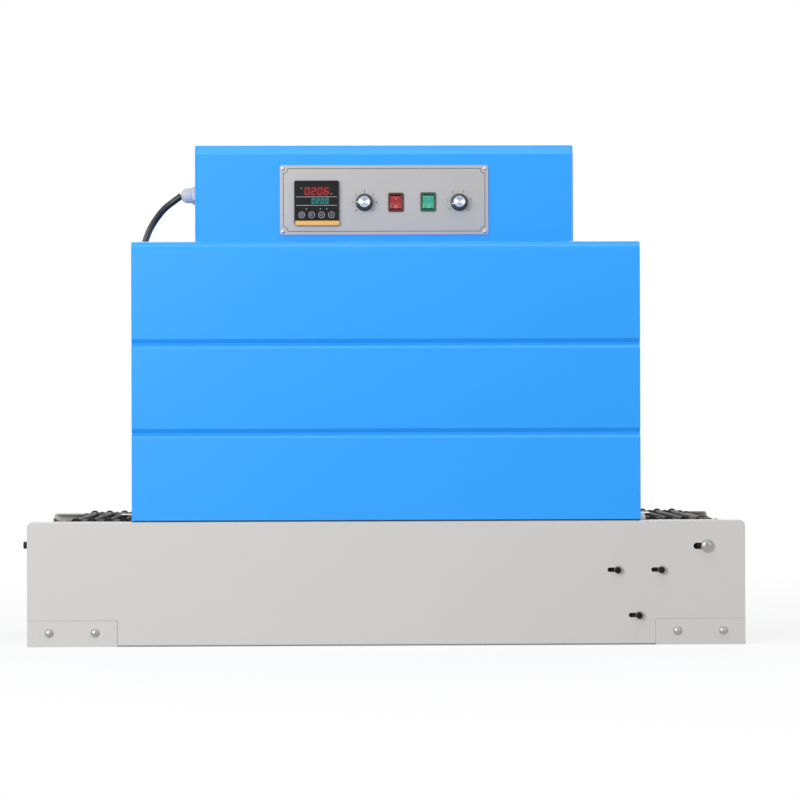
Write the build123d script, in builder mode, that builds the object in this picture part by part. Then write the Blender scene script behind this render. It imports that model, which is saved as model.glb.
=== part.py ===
"""Table-top shrink tunnel with a rod-and-chain conveyor, in millimetres.

X runs along the conveyor, Y from the control side to the rear, Z up.
The origin is on the table, at the middle of the base.
"""

from build123d import *
from math import cos, pi, radians, sin, tan
import os

os.makedirs("parts", exist_ok=True)

# Sheet steel and clearances
sheet = 2.0
bend_radius = 3.0
seam = 0.3
running_gap = 0.3

# Base: two folded side panels, a bottom pan and two cross feet
base_length = 1130.0
base_depth = 560.0
base_height = 196.0
flange_width = 30.0
end_flange_width = 25.0
panel_corner_radius = 9.0
foot_length = 141.5
foot_height = 41.0

# Chain conveyor
chain_pitch = 12.7
sprocket_teeth = 19
pitches_per_rod = 2
chain_inset = 57.3
drive_shaft_inset = 59.3
idler_shaft_inset = 73.7
shaft_drop = 41.0
plate_height = 11.8
plate_pair_thickness = 3.1
chain_width = 14.0
rod_diameter = 11.0
rod_sides = 6
end_disc_diameter = 16.0
end_disc_thickness = 5.0
shaft_diameter = 20.0
shaft_boss_diameter = 34.0
shaft_boss_length = 12.0
sprocket_width = 7.0
roller_diameter = 8.5
tooth_tip_height = 3.4
seat_share = 0.31
crest_share = 0.08
rail_width = 11.0
rail_height = 20.0
rail_end_gap = 30.0
bearing_block_length = 54.0
bearing_block_height = 40.0
bearing_block_depth = 37.2

# Drive under the control side
motor_inset = 166.0
motor_drop = 64.0
motor_bolt_offsets = [(-34.0, 27.0), (35.0, 27.0), (-0.5, -44.5)]
motor_boss_radius = 12.0
gearbox_radius = 36.0
gearbox_depth = 31.0
motor_can_diameter = 60.0
motor_can_length = 130.0
motor_can_start = 34.0
motor_can_drop = 30.0
motor_can_inset = 31.0
output_shaft_diameter = 12.0
drive_teeth_small = 11
drive_plane_inset = 37.0
drive_sprocket_width = 4.6
drive_chain_width = 9.0
drive_plate_thickness = 2.0

# Slots in the control side panel
motor_slot_length = 25.0
motor_slot_height = 7.0
motor_slot_lead = 5.0
shaft_slot_length = 30.0
shaft_slot_height = 10.0
shaft_slot_lead = 7.2

# Heating chamber
chamber_length = 800.0
chamber_height = 441.0
chamber_chamfer = 11.0
groove_rises = [139.0, 280.0]
groove_half_height = 7.0
groove_depth = 4.0
lining_inset = 35.0
tunnel_height = 206.0
lining_sheet = 1.5
guard_width = 33.0
guard_rise = 10.0
guard_sheet = 1.2
guard_reach = 18.0
curtain_inset = 12.0
curtain_side_gap = 37.0
curtain_strip_gap = 2.0
curtain_strips = 8
curtain_thickness = 0.8
curtain_clearance = 4.0
bar_thickness = 3.0
bar_height = 16.0

# Control box on top of the chamber
box_length = 610.0
box_front = -140.0
box_depth = 280.0
box_height = 162.0
box_chamfer = 11.0
vent_length = 120.0
vent_height = 5.0
vent_pitch = 15.0
vent_rows = 6
vent_columns = 2
vent_column_pitch = 200.0

# Faceplate and controls
plate_width = 336.0
plate_height_z = 112.0
plate_thickness = 2.0
plate_rise = 73.0
controller_place = (-109.0, -5.0)
controller_size = 72.0
controller_bezel = 7.0
controller_body = 67.0
controller_depth = 80.0
controller_recess = 1.2
key_diameter = 11.0
key_proud = 1.2
key_sides = 16
key_drop = 19.5
key_pitch = 15.9
knob_places = {"left": (-32.0, -4.0), "right": (121.0, -4.0)}
knob_diameter = 28.0
knob_top_diameter = 24.0
knob_height = 16.0
knob_gap = 1.0
knob_flutes = 16
knob_flute_depth = 1.0
knob_cap_diameter = 18.0
knob_cap_height = 0.6
knob_shaft_diameter = 6.0
knob_shaft_length = 14.0
switch_places = {"red": (19.0, -4.0), "green": (71.0, -3.5)}
switch_width = 25.5
switch_height = 31.0
switch_rim = 2.0
switch_opening_width = 18.6
switch_opening_height = 23.6
switch_body_width = 21.4
switch_body_height = 27.0
switch_body_depth = 16.0
rocker_gap = 0.4
rocker_tilt = 8.0
rocker_pivot_depth = 4.0
rocker_rise = 5.6

# Mains cord, its gland and its plug
cord_diameter = 11.0
cord_sides = 10
gland_setback = 160.0
gland_rise = 90.5
gland_hex = 26.0
gland_ribs = 12
gland_hex_length = 8.0
gland_flange = 2.0
gland_dome_length = 18.0
coil_x = -190.0
coil_y = 207.0
coil_mid_radius = 55.0
coil_layers = 2
coil_lanes = 2
plug_length = 50.0
plug_width = 36.0
plug_thickness = 24.0
plug_sleeve = 28.0
plug_chamfer = 6.0
pin_length = 18.0
pin_width = 6.5
pin_thickness = 2.0
pin_spread = 7.0

# Sizes worked out from those above
front = -base_depth / 2
rear = base_depth / 2
half_base = base_length / 2
inner_wall = base_depth / 2 - sheet
foot_start = half_base - foot_length
pitch_radius = chain_pitch / 2 / sin(pi / sprocket_teeth)
longest_run = base_length - drive_shaft_inset - idler_shaft_inset
rod_count = int((2 * longest_run / chain_pitch + sprocket_teeth) / pitches_per_rod)
loop_pitches = rod_count * pitches_per_rod
shaft_distance = chain_pitch * (loop_pitches - sprocket_teeth) / 2
drive_shaft_x = half_base - drive_shaft_inset
idler_shaft_x = drive_shaft_x - shaft_distance
shaft_height = base_height - shaft_drop
chain_offset = base_depth / 2 - chain_inset
top_run_z = shaft_height + pitch_radius
chain_outer = chain_offset + chain_width / 2
chain_inner = chain_offset - chain_width / 2
motor_x = half_base - motor_inset
motor_z = shaft_height - motor_drop
motor_bolts = [(motor_x + x, motor_z + z) for x, z in motor_bolt_offsets]
drive_plane_offset = inner_wall - drive_plane_inset
chamber_top = base_height + chamber_height
half_chamber = chamber_length / 2
tunnel_width = base_depth - 2 * lining_inset
tunnel_top = base_height + tunnel_height
box_rear = box_front + box_depth
box_top = chamber_top + box_height
plate_face = box_front - plate_thickness
plate_z = chamber_top + plate_rise
controller_x = controller_place[0]
controller_z = plate_z + controller_place[1]
knob_shaft_hole = knob_shaft_diameter + 2 * running_gap
gland_y = box_front + gland_setback
gland_z = chamber_top + gland_rise
gland_barrel = 0.75 * cord_diameter


def loop_outline(centres, radii, grow):
    """Two circles and the lines that touch both, a chain's path grown by an offset."""
    for centre, radius in zip(centres, radii):
        with Locations(centre):
            Circle(radius + grow)
    make_hull()


def chain_plates(plane_y, width, thickness, centres, radii):
    """Link plates on both faces of a chain, each pair of plates as one closed loop."""
    with BuildPart() as plates:
        for face in (plane_y - width / 2, plane_y + width / 2 - thickness):
            with BuildSketch(Plane.XZ.offset(-face)):
                loop_outline(centres, radii, plate_height / 2)
                with BuildSketch(mode=Mode.SUBTRACT):
                    loop_outline(centres, radii, -plate_height / 2)
            extrude(amount=-thickness)
    return plates


def tooth_points(teeth):
    """A sprocket's outline: a flat seat for each roller and a narrow tooth tip between."""
    radius = chain_pitch / 2 / sin(pi / teeth)
    root = radius - roller_diameter / 2
    tip = radius + tooth_tip_height
    seat = seat_share * 2 * pi / teeth
    crest = crest_share * 2 * pi / teeth
    points = []
    for tooth in range(teeth):
        angle = 2 * pi * tooth / teeth + pi / 2
        half_tooth = pi / teeth
        for reach, turn in (
            (root, -seat),
            (root, seat),
            (tip, half_tooth - crest),
            (tip, half_tooth + crest),
        ):
            points.append((reach * cos(angle + turn), reach * sin(angle + turn)))
    return points


def sprocket(plane_y, width, teeth, centre, bore):
    """A toothed wheel, bored for its shaft."""
    with BuildPart() as wheel:
        with BuildSketch(Plane.XZ.offset(-plane_y + width / 2)):
            with Locations(centre):
                Polygon(*tooth_points(teeth), align=None)
        extrude(amount=-width)
        with BuildSketch(Plane.XZ.offset(base_depth)):
            with Locations(centre):
                Circle(bore / 2)
        extrude(amount=-2 * base_depth, mode=Mode.SUBTRACT)
    return wheel


# Side panels: a folded channel with end flanges, rounded top corners and corner notches
with BuildPart() as front_side_panel:
    with BuildSketch(Plane.YZ.offset(-half_base)):
        with BuildLine():
            Polyline(
                (front, 0),
                (front, base_height),
                (front + flange_width, base_height),
                (front + flange_width, base_height - sheet),
                (front + sheet, base_height - sheet),
                (front + sheet, sheet),
                (front + flange_width, sheet),
                (front + flange_width, 0),
                close=True,
            )
        make_face()
    extrude(amount=base_length)
    bends = front_side_panel.edges().filter_by(Axis.X).group_by(Axis.Y)[0]
    fillet(bends, radius=sheet)
    with Locations((half_base - sheet / 2, 0, 0), (-half_base + sheet / 2, 0, 0)):
        with Locations((0, front + end_flange_width / 2, base_height / 2)):
            Box(sheet, end_flange_width, base_height - 2 * panel_corner_radius)
    with BuildSketch(Plane.XZ.offset(base_depth)):
        for side in (-1, 1):
            with Locations((side * (half_base - foot_length / 2), foot_height / 2)):
                Rectangle(foot_length + 2 * seam, foot_height + 2 * seam)
    extrude(amount=-base_depth, mode=Mode.SUBTRACT)
    with BuildSketch(Plane.XZ.offset(base_depth)):
        with Locations((0, base_height / 2)):
            Rectangle(2 * base_length, base_height + 2 * panel_corner_radius)
        with Locations((0, base_height / 2)):
            RectangleRounded(base_length, base_height, panel_corner_radius, mode=Mode.SUBTRACT)
        with Locations((0, foot_height)):
            Rectangle(2 * base_length, 2 * foot_height, mode=Mode.SUBTRACT)
    extrude(amount=-base_depth, mode=Mode.SUBTRACT)
rear_side_panel = BuildPart()
with rear_side_panel:
    add(mirror(front_side_panel.part, about=Plane.XZ, mode=Mode.PRIVATE))
    with BuildSketch(Plane.XZ.offset(-base_depth)):
        with Locations((drive_shaft_x - shaft_slot_lead, shaft_height)):
            SlotOverall(shaft_slot_length, shaft_slot_height)
    extrude(amount=base_depth, mode=Mode.SUBTRACT)
with front_side_panel:
    with BuildSketch(Plane.XZ.offset(base_depth)):
        with Locations((drive_shaft_x - shaft_slot_lead, shaft_height)):
            SlotOverall(shaft_slot_length, shaft_slot_height)
        for bolt_x, bolt_z in motor_bolts:
            with Locations((bolt_x - motor_slot_lead, bolt_z)):
                SlotOverall(motor_slot_length, motor_slot_height)
    extrude(amount=-base_depth, mode=Mode.SUBTRACT)
front_side_panel.part.label = "front_side_panel"
export_step(front_side_panel.part, "parts/front_side_panel.step")
rear_side_panel.part.label = "rear_side_panel"
export_step(rear_side_panel.part, "parts/rear_side_panel.step")

# Bottom pan: lies on the bottom flanges between the two feet
with BuildPart() as bottom_pan:
    with Locations((0, 0, sheet)):
        Box(
            2 * (foot_start - 2 * seam),
            2 * (inner_wall - seam),
            sheet,
            align=(Align.CENTER, Align.CENTER, Align.MIN),
        )
bottom_pan.part.label = "bottom_pan"
export_step(bottom_pan.part, "parts/bottom_pan.step")

# Cross feet: pressed trays, open below, whose ends fill the notches in the side panels
for side, name in ((-1, "left_foot"), (1, "right_foot")):
    with BuildPart() as foot:
        with Locations((side * (half_base - foot_length / 2), 0, 0)):
            Box(
                foot_length,
                base_depth,
                foot_height,
                align=(Align.CENTER, Align.CENTER, Align.MIN),
            )
        offset(amount=-sheet, openings=foot.faces().sort_by(Axis.Z)[0])
    foot.part.label = name
    export_step(foot.part, f"parts/{name}.step")

# Shafts: each runs from panel to panel, with a boss where it meets its seat
for name, centre_x, reach in (
    ("drive_shaft", drive_shaft_x, inner_wall),
    ("idler_shaft", idler_shaft_x, inner_wall - sheet),
):
    with BuildPart() as shaft:
        with BuildSketch(Plane.XZ.offset(reach)):
            with Locations((centre_x, shaft_height)):
                Circle(shaft_diameter / 2)
        extrude(amount=-2 * reach)
    if name == "drive_shaft":
        with shaft:
            for seat in (-reach, reach - shaft_boss_length):
                with BuildSketch(Plane.XZ.offset(-seat)):
                    with Locations((centre_x, shaft_height)):
                        Circle(shaft_boss_diameter / 2)
                extrude(amount=-shaft_boss_length)
    shaft.part.label = name
    export_step(shaft.part, f"parts/{name}.step")

# Bearing blocks: carry the idler shaft and slide on the side panels to tighten the chains
with BuildPart() as bearing_blocks:
    for side in (-1, 1):
        with BuildSketch(Plane.XZ.offset(side * (inner_wall - running_gap))):
            with Locations((idler_shaft_x, shaft_height)):
                Rectangle(bearing_block_length, bearing_block_height)
                Circle(shaft_diameter / 2 + running_gap / 10, mode=Mode.SUBTRACT)
        extrude(amount=-side * bearing_block_depth)
bearing_blocks.part.label = "bearing_blocks"
export_step(bearing_blocks.part, "parts/bearing_blocks.step")

# Sprockets: four for the conveyor chains, one more on the drive shaft and one on the motor
drive_centres = [(motor_x, motor_z), (drive_shaft_x, shaft_height)]
drive_radii = [chain_pitch / 2 / sin(pi / drive_teeth_small), pitch_radius]
shaft_bore = shaft_diameter + running_gap / 5
output_bore = output_shaft_diameter + running_gap / 5
with BuildPart() as sprockets:
    for centre_x in (idler_shaft_x, drive_shaft_x):
        for side in (-1, 1):
            place = (centre_x, shaft_height)
            plane = side * chain_offset
            add(sprocket(plane, sprocket_width, sprocket_teeth, place, shaft_bore).part)
    drive_plane = -drive_plane_offset
    add(sprocket(drive_plane, drive_sprocket_width, sprocket_teeth, drive_centres[1], shaft_bore).part)
    add(sprocket(drive_plane, drive_sprocket_width, drive_teeth_small, drive_centres[0], output_bore).part)
sprockets.part.label = "sprockets"
export_step(sprockets.part, "parts/sprockets.step")

# Conveyor chains: link plates in closed loops round the two shafts
shaft_centres = [(idler_shaft_x, shaft_height), (drive_shaft_x, shaft_height)]
for side, name in ((-1, "front_chain"), (1, "rear_chain")):
    chain = chain_plates(
        side * chain_offset,
        chain_width,
        plate_pair_thickness,
        shaft_centres,
        [pitch_radius, pitch_radius],
    )
    chain.part.label = name
    export_step(chain.part, f"parts/{name}.step")


def rod_places():
    """Points along the chain loop, one for each rod: two straight runs and two half circles."""
    step = chain_pitch * pitches_per_rod
    half_turn = chain_pitch * sprocket_teeth / 2
    places = []
    for rod in range(rod_count):
        way = rod * step
        centre_x = drive_shaft_x
        if way < shaft_distance:
            places.append((idler_shaft_x + way, top_run_z))
            continue
        way -= shaft_distance
        angle = pi / 2 - pi * way / half_turn
        if way >= half_turn:
            way -= half_turn
            if way < shaft_distance:
                places.append((drive_shaft_x - way, shaft_height - pitch_radius))
                continue
            centre_x = idler_shaft_x
            angle = -pi / 2 - pi * (way - shaft_distance) / half_turn
        reach = pitch_radius * cos(angle)
        places.append((centre_x + reach, shaft_height + pitch_radius * sin(angle)))
    return places


# Conveyor rods: sleeved cross rods between the chains, one at every second pitch
with BuildPart() as conveyor_rods:
    with BuildSketch(Plane.XZ.offset(chain_inner - running_gap)):
        with Locations(*rod_places()):
            RegularPolygon(rod_diameter / 2, rod_sides, rotation=180 / rod_sides)
    extrude(amount=-2 * (chain_inner - running_gap))
conveyor_rods.part.label = "conveyor_rods"
export_step(conveyor_rods.part, "parts/conveyor_rods.step")

# Rod end discs: keep the rods in the chains, outside the outer link plates
with BuildPart() as rod_end_discs:
    for side in (-1, 1):
        with BuildSketch(Plane.XZ.offset(side * (chain_outer + running_gap))):
            with Locations(*rod_places()):
                RegularPolygon(end_disc_diameter / 2, rod_sides, rotation=180 / rod_sides)
        extrude(amount=side * end_disc_thickness)
rod_end_discs.part.label = "rod_end_discs"
export_step(rod_end_discs.part, "parts/rod_end_discs.step")

# Chain rails: carry the top run of each chain and are fixed to the side panels
rail_top = top_run_z - plate_height / 2 - running_gap
rail_start = idler_shaft_x + pitch_radius + rail_end_gap
rail_length = drive_shaft_x - pitch_radius - rail_end_gap - rail_start
with BuildPart() as chain_rails:
    with BuildSketch(Plane.YZ.offset(rail_start)):
        with BuildLine():
            Polyline(
                (-inner_wall, rail_top - rail_height),
                (-inner_wall, rail_top - rail_height + sheet),
                (-chain_offset - rail_width / 2, rail_top - rail_height + sheet),
                (-chain_offset - rail_width / 2, rail_top),
                (-chain_offset + rail_width / 2, rail_top),
                (-chain_offset + rail_width / 2, rail_top - rail_height),
                close=True,
            )
        make_face()
        mirror(about=Plane.YZ)
    extrude(amount=rail_length)
chain_rails.part.label = "chain_rails"
export_step(chain_rails.part, "parts/chain_rails.step")

# Gear motor: a flat gearbox bolted inside the control side panel, its motor below the chain
with BuildPart() as gear_motor:
    with BuildSketch(Plane.XZ.offset(inner_wall)):
        with Locations((motor_x, motor_z)):
            Circle(gearbox_radius)
        with Locations(*motor_bolts):
            Circle(motor_boss_radius)
        make_hull()
    extrude(amount=-gearbox_depth)
    chamfer(gear_motor.faces().sort_by(Axis.Y)[-1].edges(), length=sheet)
    with BuildSketch(Plane.YZ.offset(motor_x - motor_can_start - motor_can_length)):
        with Locations((-inner_wall + motor_can_inset, motor_z - motor_can_drop)):
            Circle(motor_can_diameter / 2)
    extrude(amount=motor_can_length)
    chamfer(gear_motor.faces().sort_by(Axis.X)[0].edges(), length=sheet)
    with BuildSketch(Plane.XZ.offset(inner_wall - gearbox_depth)):
        with Locations((motor_x, motor_z)):
            Circle(output_shaft_diameter / 2)
    extrude(amount=-(inner_wall - gearbox_depth - drive_plane_offset + drive_sprocket_width))
gear_motor.part.label = "gear_motor"
export_step(gear_motor.part, "parts/gear_motor.step")

# Drive chain: from the motor's sprocket to the drive shaft's, outside the rod ends
drive_chain = chain_plates(
    -drive_plane_offset,
    drive_chain_width,
    drive_plate_thickness,
    drive_centres,
    drive_radii,
)
drive_chain.part.label = "drive_chain"
export_step(drive_chain.part, "parts/drive_chain.step")


def groove_points(face, inward):
    """Corner points of the pressed V grooves up one wall of the chamber."""
    points = []
    for height in [base_height + rise for rise in groove_rises]:
        points.append((face, height - groove_half_height))
        points.append((face + inward * groove_depth, height))
        points.append((face, height + groove_half_height))
    return points


def chamber_outline():
    """The chamber's cross section, started below its foot, with its chamfers and grooves."""
    Polygon(
        (front, base_height - 2 * sheet),
        *groove_points(front, 1),
        (front, chamber_top - chamber_chamfer),
        (front + chamber_chamfer, chamber_top),
        (rear - chamber_chamfer, chamber_top),
        (rear, chamber_top - chamber_chamfer),
        *reversed(groove_points(rear, -1)),
        (rear, base_height - 2 * sheet),
        align=None,
    )


def clear_base():
    """Cuts a chamber section off level with the top of the base."""
    with Locations((0, base_height)):
        Rectangle(2 * base_depth, base_depth, align=(Align.CENTER, Align.MAX), mode=Mode.SUBTRACT)


# Chamber shell: one wrap of painted sheet, front, top and rear, with pressed grooves
with BuildPart() as chamber_shell:
    with BuildSketch(Plane.YZ.offset(-half_chamber)):
        chamber_outline()
        offset(amount=-sheet, kind=Kind.INTERSECTION, mode=Mode.SUBTRACT)
        clear_base()
    extrude(amount=chamber_length)
chamber_shell.part.label = "chamber_shell"
export_step(chamber_shell.part, "parts/chamber_shell.step")

# End walls: inside the wrap's edges, each with the tunnel mouth cut through
for side, name in ((-1, "left_end_wall"), (1, "right_end_wall")):
    with BuildPart() as end_wall:
        with BuildSketch(Plane.YZ.offset(side * half_chamber)):
            chamber_outline()
            offset(amount=-sheet - seam, kind=Kind.INTERSECTION, mode=Mode.REPLACE)
            clear_base()
            with Locations((0, base_height)):
                mouth = Align.CENTER, Align.MIN
                Rectangle(tunnel_width, tunnel_top - base_height, align=mouth, mode=Mode.SUBTRACT)
        extrude(amount=-side * sheet)
    end_wall.part.label = name
    export_step(end_wall.part, f"parts/{name}.step")

# Tunnel lining: bright sheet over the conveyor, with feet on the side panels' flanges
lining_length = chamber_length - 2 * (sheet + seam)
with BuildPart() as tunnel_lining:
    with BuildSketch(Plane.YZ.offset(-lining_length / 2)):
        with BuildLine():
            Polyline(
                (-inner_wall + seam, base_height),
                (-inner_wall + seam, base_height + lining_sheet),
                (-tunnel_width / 2 - lining_sheet, base_height + lining_sheet),
                (-tunnel_width / 2 - lining_sheet, tunnel_top + lining_sheet),
                (tunnel_width / 2 + lining_sheet, tunnel_top + lining_sheet),
                (tunnel_width / 2 + lining_sheet, base_height + lining_sheet),
                (inner_wall - seam, base_height + lining_sheet),
                (inner_wall - seam, base_height),
                (tunnel_width / 2, base_height),
                (tunnel_width / 2, tunnel_top),
                (-tunnel_width / 2, tunnel_top),
                (-tunnel_width / 2, base_height),
                close=True,
            )
        make_face()
    extrude(amount=lining_length)
tunnel_lining.part.label = "tunnel_lining"
export_step(tunnel_lining.part, "parts/tunnel_lining.step")

# Chain guards: strips over the chains and rod ends, along the whole tunnel
guard_length = chamber_length + 2 * guard_reach
guard_height = base_height + guard_rise
guard_inner = tunnel_width / 2 - guard_width
with BuildPart() as chain_guards:
    with BuildSketch(Plane.YZ.offset(-guard_length / 2)):
        with BuildLine():
            Polyline(
                (-tunnel_width / 2 + seam, guard_height),
                (-tunnel_width / 2 + seam, guard_height + guard_sheet),
                (-guard_inner, guard_height + guard_sheet),
                (-guard_inner, guard_height),
                close=True,
            )
        make_face()
        mirror(about=Plane.YZ)
    extrude(amount=guard_length)
chain_guards.part.label = "chain_guards"
export_step(chain_guards.part, "parts/chain_guards.step")

# Curtains: heat-proof strips at each mouth, hung from a flat bar under the lining
curtain_width = tunnel_width - 2 * curtain_side_gap
strip_pitch = curtain_width / curtain_strips
curtain_strip_width = strip_pitch - curtain_strip_gap
strip_places = [(column - (curtain_strips - 1) / 2) * strip_pitch for column in range(curtain_strips)]
strip_bottom = top_run_z + rod_diameter / 2 + curtain_clearance
curtain_x = half_chamber - curtain_inset
with BuildPart() as curtain_bars:
    for side in (-1, 1):
        with Locations((side * (curtain_x - bar_thickness / 2), 0, tunnel_top - seam)):
            Box(
                bar_thickness,
                curtain_strips * strip_pitch,
                bar_height,
                align=(Align.CENTER, Align.CENTER, Align.MAX),
            )
curtain_bars.part.label = "curtain_bars"
export_step(curtain_bars.part, "parts/curtain_bars.step")
for side, name in ((-1, "left_curtain"), (1, "right_curtain")):
    with BuildPart() as curtain:
        strip_x = side * (curtain_x + running_gap + curtain_thickness / 2)
        with Locations(*[(strip_x, y, strip_bottom) for y in strip_places]):
            Box(
                curtain_thickness,
                curtain_strip_width,
                tunnel_top - seam - strip_bottom,
                align=(Align.CENTER, Align.CENTER, Align.MIN),
            )
    curtain.part.label = name
    export_step(curtain.part, f"parts/{name}.step")

# Control box: a folded case, chamfered along its upper edges and open at the rear
with BuildPart() as control_box:
    with Locations((0, box_front, chamber_top)):
        Box(box_length, box_depth, box_height, align=(Align.CENTER, Align.MIN, Align.MIN))
    upper = control_box.edges().filter_by(Axis.X).group_by(Axis.Z)[-1]
    chamfer(upper.sort_by(Axis.Y)[0], length=box_chamfer)
    offset(amount=-sheet, openings=control_box.faces().sort_by(Axis.Y)[-1])
    window_width = plate_width - 4 * box_chamfer
    window_height = plate_height_z - 2 * box_chamfer
    with BuildSketch(Plane.XZ.offset(-box_front + sheet)):
        with Locations((0, plate_z)):
            Rectangle(window_width, window_height)
    extrude(amount=-3 * sheet, mode=Mode.SUBTRACT)
    with BuildSketch(Plane.YZ.offset(-box_length / 2 - sheet)):
        with Locations((gland_y, gland_z)):
            Circle(gland_barrel + seam)
    extrude(amount=3 * sheet, mode=Mode.SUBTRACT)
control_box.part.label = "control_box"
export_step(control_box.part, "parts/control_box.step")

# Rear cover of the control box: sits in the open side, with rows of vent slots
with BuildPart() as box_rear_cover:
    with BuildSketch(Plane.XZ.offset(-box_rear + sheet)):
        with Locations((0, chamber_top + box_height / 2)):
            Rectangle(box_length - 2 * (sheet + seam), box_height - 2 * (sheet + seam))
        with Locations((0, chamber_top + box_height / 2)):
            with GridLocations(vent_column_pitch, vent_pitch, vent_columns, vent_rows):
                Rectangle(vent_length, vent_height, mode=Mode.SUBTRACT)
    extrude(amount=-sheet)
box_rear_cover.part.label = "box_rear_cover"
export_step(box_rear_cover.part, "parts/box_rear_cover.step")

# Faceplate: brushed plate over the window, cut out for each control
with BuildPart() as faceplate:
    with BuildSketch(Plane.XZ.offset(-plate_face)):
        with Locations((0, plate_z)):
            RectangleRounded(plate_width, plate_height_z, bend_radius)
        with Locations((controller_x, controller_z)):
            Rectangle(controller_body + 2 * seam, controller_body + 2 * seam, mode=Mode.SUBTRACT)
        for switch_x, switch_rise in switch_places.values():
            with Locations((switch_x, plate_z + switch_rise)):
                cutout = switch_body_width + 2 * seam, switch_body_height + 2 * seam
                Rectangle(*cutout, mode=Mode.SUBTRACT)
        for knob_x, knob_rise in knob_places.values():
            with Locations((knob_x, plate_z + knob_rise)):
                Circle(knob_shaft_hole / 2, mode=Mode.SUBTRACT)
    extrude(amount=-plate_thickness)
faceplate.part.label = "faceplate"
export_step(faceplate.part, "parts/faceplate.step")

# Temperature controller: square bezel with a recessed face, and its body behind the plate
with BuildPart() as controller:
    with BuildSketch(Plane.XZ.offset(-plate_face)):
        with Locations((controller_x, controller_z)):
            RectangleRounded(controller_size, controller_size, bend_radius)
    extrude(amount=controller_bezel)
    chamfer(controller.faces().sort_by(Axis.Y)[0].edges(), length=running_gap * 4)
    with BuildSketch(Plane.XZ.offset(-plate_face + controller_bezel)):
        with Locations((controller_x, controller_z)):
            Rectangle(controller_body, controller_body)
    extrude(amount=-controller_recess, mode=Mode.SUBTRACT)
    with BuildSketch(Plane.XZ.offset(-plate_face)):
        with Locations((controller_x, controller_z)):
            Rectangle(controller_body, controller_body)
    extrude(amount=-controller_depth)
controller.part.label = "controller"
export_step(controller.part, "parts/controller.step")

# Controller keys: four round keys in a row on the controller's face
key_seat = plate_face - controller_bezel + controller_recess
with BuildPart() as controller_keys:
    with BuildSketch(Plane.XZ.offset(-key_seat)):
        with Locations((controller_x, controller_z - key_drop)):
            with GridLocations(key_pitch, 1, 4, 1):
                RegularPolygon(key_diameter / 2, key_sides)
    extrude(amount=controller_recess + key_proud)
controller_keys.part.label = "controller_keys"
export_step(controller_keys.part, "parts/controller_keys.step")


def fluted_outline(radius):
    """A knob's outline with its finger flutes, as ridge points and valley points in turn."""
    points = []
    for flute in range(knob_flutes):
        for share, reach in ((0, radius), (0.5, radius), (0.75, radius - knob_flute_depth)):
            angle = 2 * pi * (flute + share) / knob_flutes
            points.append((reach * cos(angle), reach * sin(angle)))
    return points


# Knobs: fluted and tapered, on potentiometer shafts, each with a spun metal cap
for side, (knob_x, knob_rise) in knob_places.items():
    knob_z = plate_z + knob_rise
    knob_base = plate_face - knob_gap
    with BuildPart() as knob:
        with BuildSketch(Plane.XZ.offset(-knob_base)):
            with Locations((knob_x, knob_z)):
                Polygon(*fluted_outline(knob_diameter / 2), align=None)
        with BuildSketch(Plane.XZ.offset(-knob_base + knob_height)):
            with Locations((knob_x, knob_z)):
                Polygon(*fluted_outline(knob_top_diameter / 2), align=None)
        loft(ruled=True)
        with BuildSketch(Plane.XZ.offset(-knob_base)):
            with Locations((knob_x, knob_z)):
                Circle(knob_shaft_diameter / 2)
        extrude(amount=-knob_shaft_length)
    knob.part.label = f"{side}_knob"
    export_step(knob.part, f"parts/{side}_knob.step")
    with BuildPart() as knob_cap:
        with BuildSketch(Plane.XZ.offset(-knob_base + knob_height)):
            with Locations((knob_x, knob_z)):
                RegularPolygon(knob_cap_diameter / 2, 2 * knob_flutes)
        extrude(amount=knob_cap_height)
    knob_cap.part.label = f"{side}_knob_cap"
    export_step(knob_cap.part, f"parts/{side}_knob_cap.step")

# Rocker switches: a rimmed frame let into the plate and a rocker that tips in it
for colour, (switch_x, switch_rise) in switch_places.items():
    switch_z = plate_z + switch_rise
    with BuildPart() as frame:
        with BuildSketch(Plane.XZ.offset(-plate_face)):
            with Locations((switch_x, switch_z)):
                RectangleRounded(switch_width, switch_height, bend_radius)
        extrude(amount=switch_rim)
        with BuildSketch(Plane.XZ.offset(-plate_face)):
            with Locations((switch_x, switch_z)):
                Rectangle(switch_body_width, switch_body_height)
        extrude(amount=-switch_body_depth)
        with BuildSketch(Plane.XZ.offset(-plate_face + switch_rim)):
            with Locations((switch_x, switch_z)):
                Rectangle(switch_opening_width, switch_opening_height)
        extrude(amount=-switch_body_depth, mode=Mode.SUBTRACT)
    frame.part.label = f"{colour}_switch_frame"
    export_step(frame.part, f"parts/{colour}_switch_frame.step")
    reach = switch_opening_height / 2 - rocker_gap
    pivot_y = plate_face + rocker_pivot_depth
    lift = reach * tan(radians(rocker_tilt))
    half_width = switch_opening_width / 2 - rocker_gap
    with BuildPart() as rocker:
        with BuildSketch(Plane.YZ.offset(switch_x - half_width)):
            with Locations((pivot_y, switch_z)):
                Circle(reach)
            with BuildLine():
                Polyline(
                    (pivot_y - rocker_rise, switch_z),
                    (pivot_y - rocker_rise - lift, switch_z + reach),
                    (pivot_y + reach / 3, switch_z + reach),
                    (pivot_y + reach / 3, switch_z - reach),
                    (pivot_y - rocker_rise - lift, switch_z - reach),
                    close=True,
                )
            make_face(mode=Mode.INTERSECT)
        extrude(amount=2 * half_width)
    tipped = rocker.part.rotate(Axis((switch_x, pivot_y, switch_z), (1, 0, 0)), rocker_tilt)
    tipped.label = f"{colour}_rocker"
    export_step(tipped, f"parts/{colour}_rocker.step")

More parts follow.
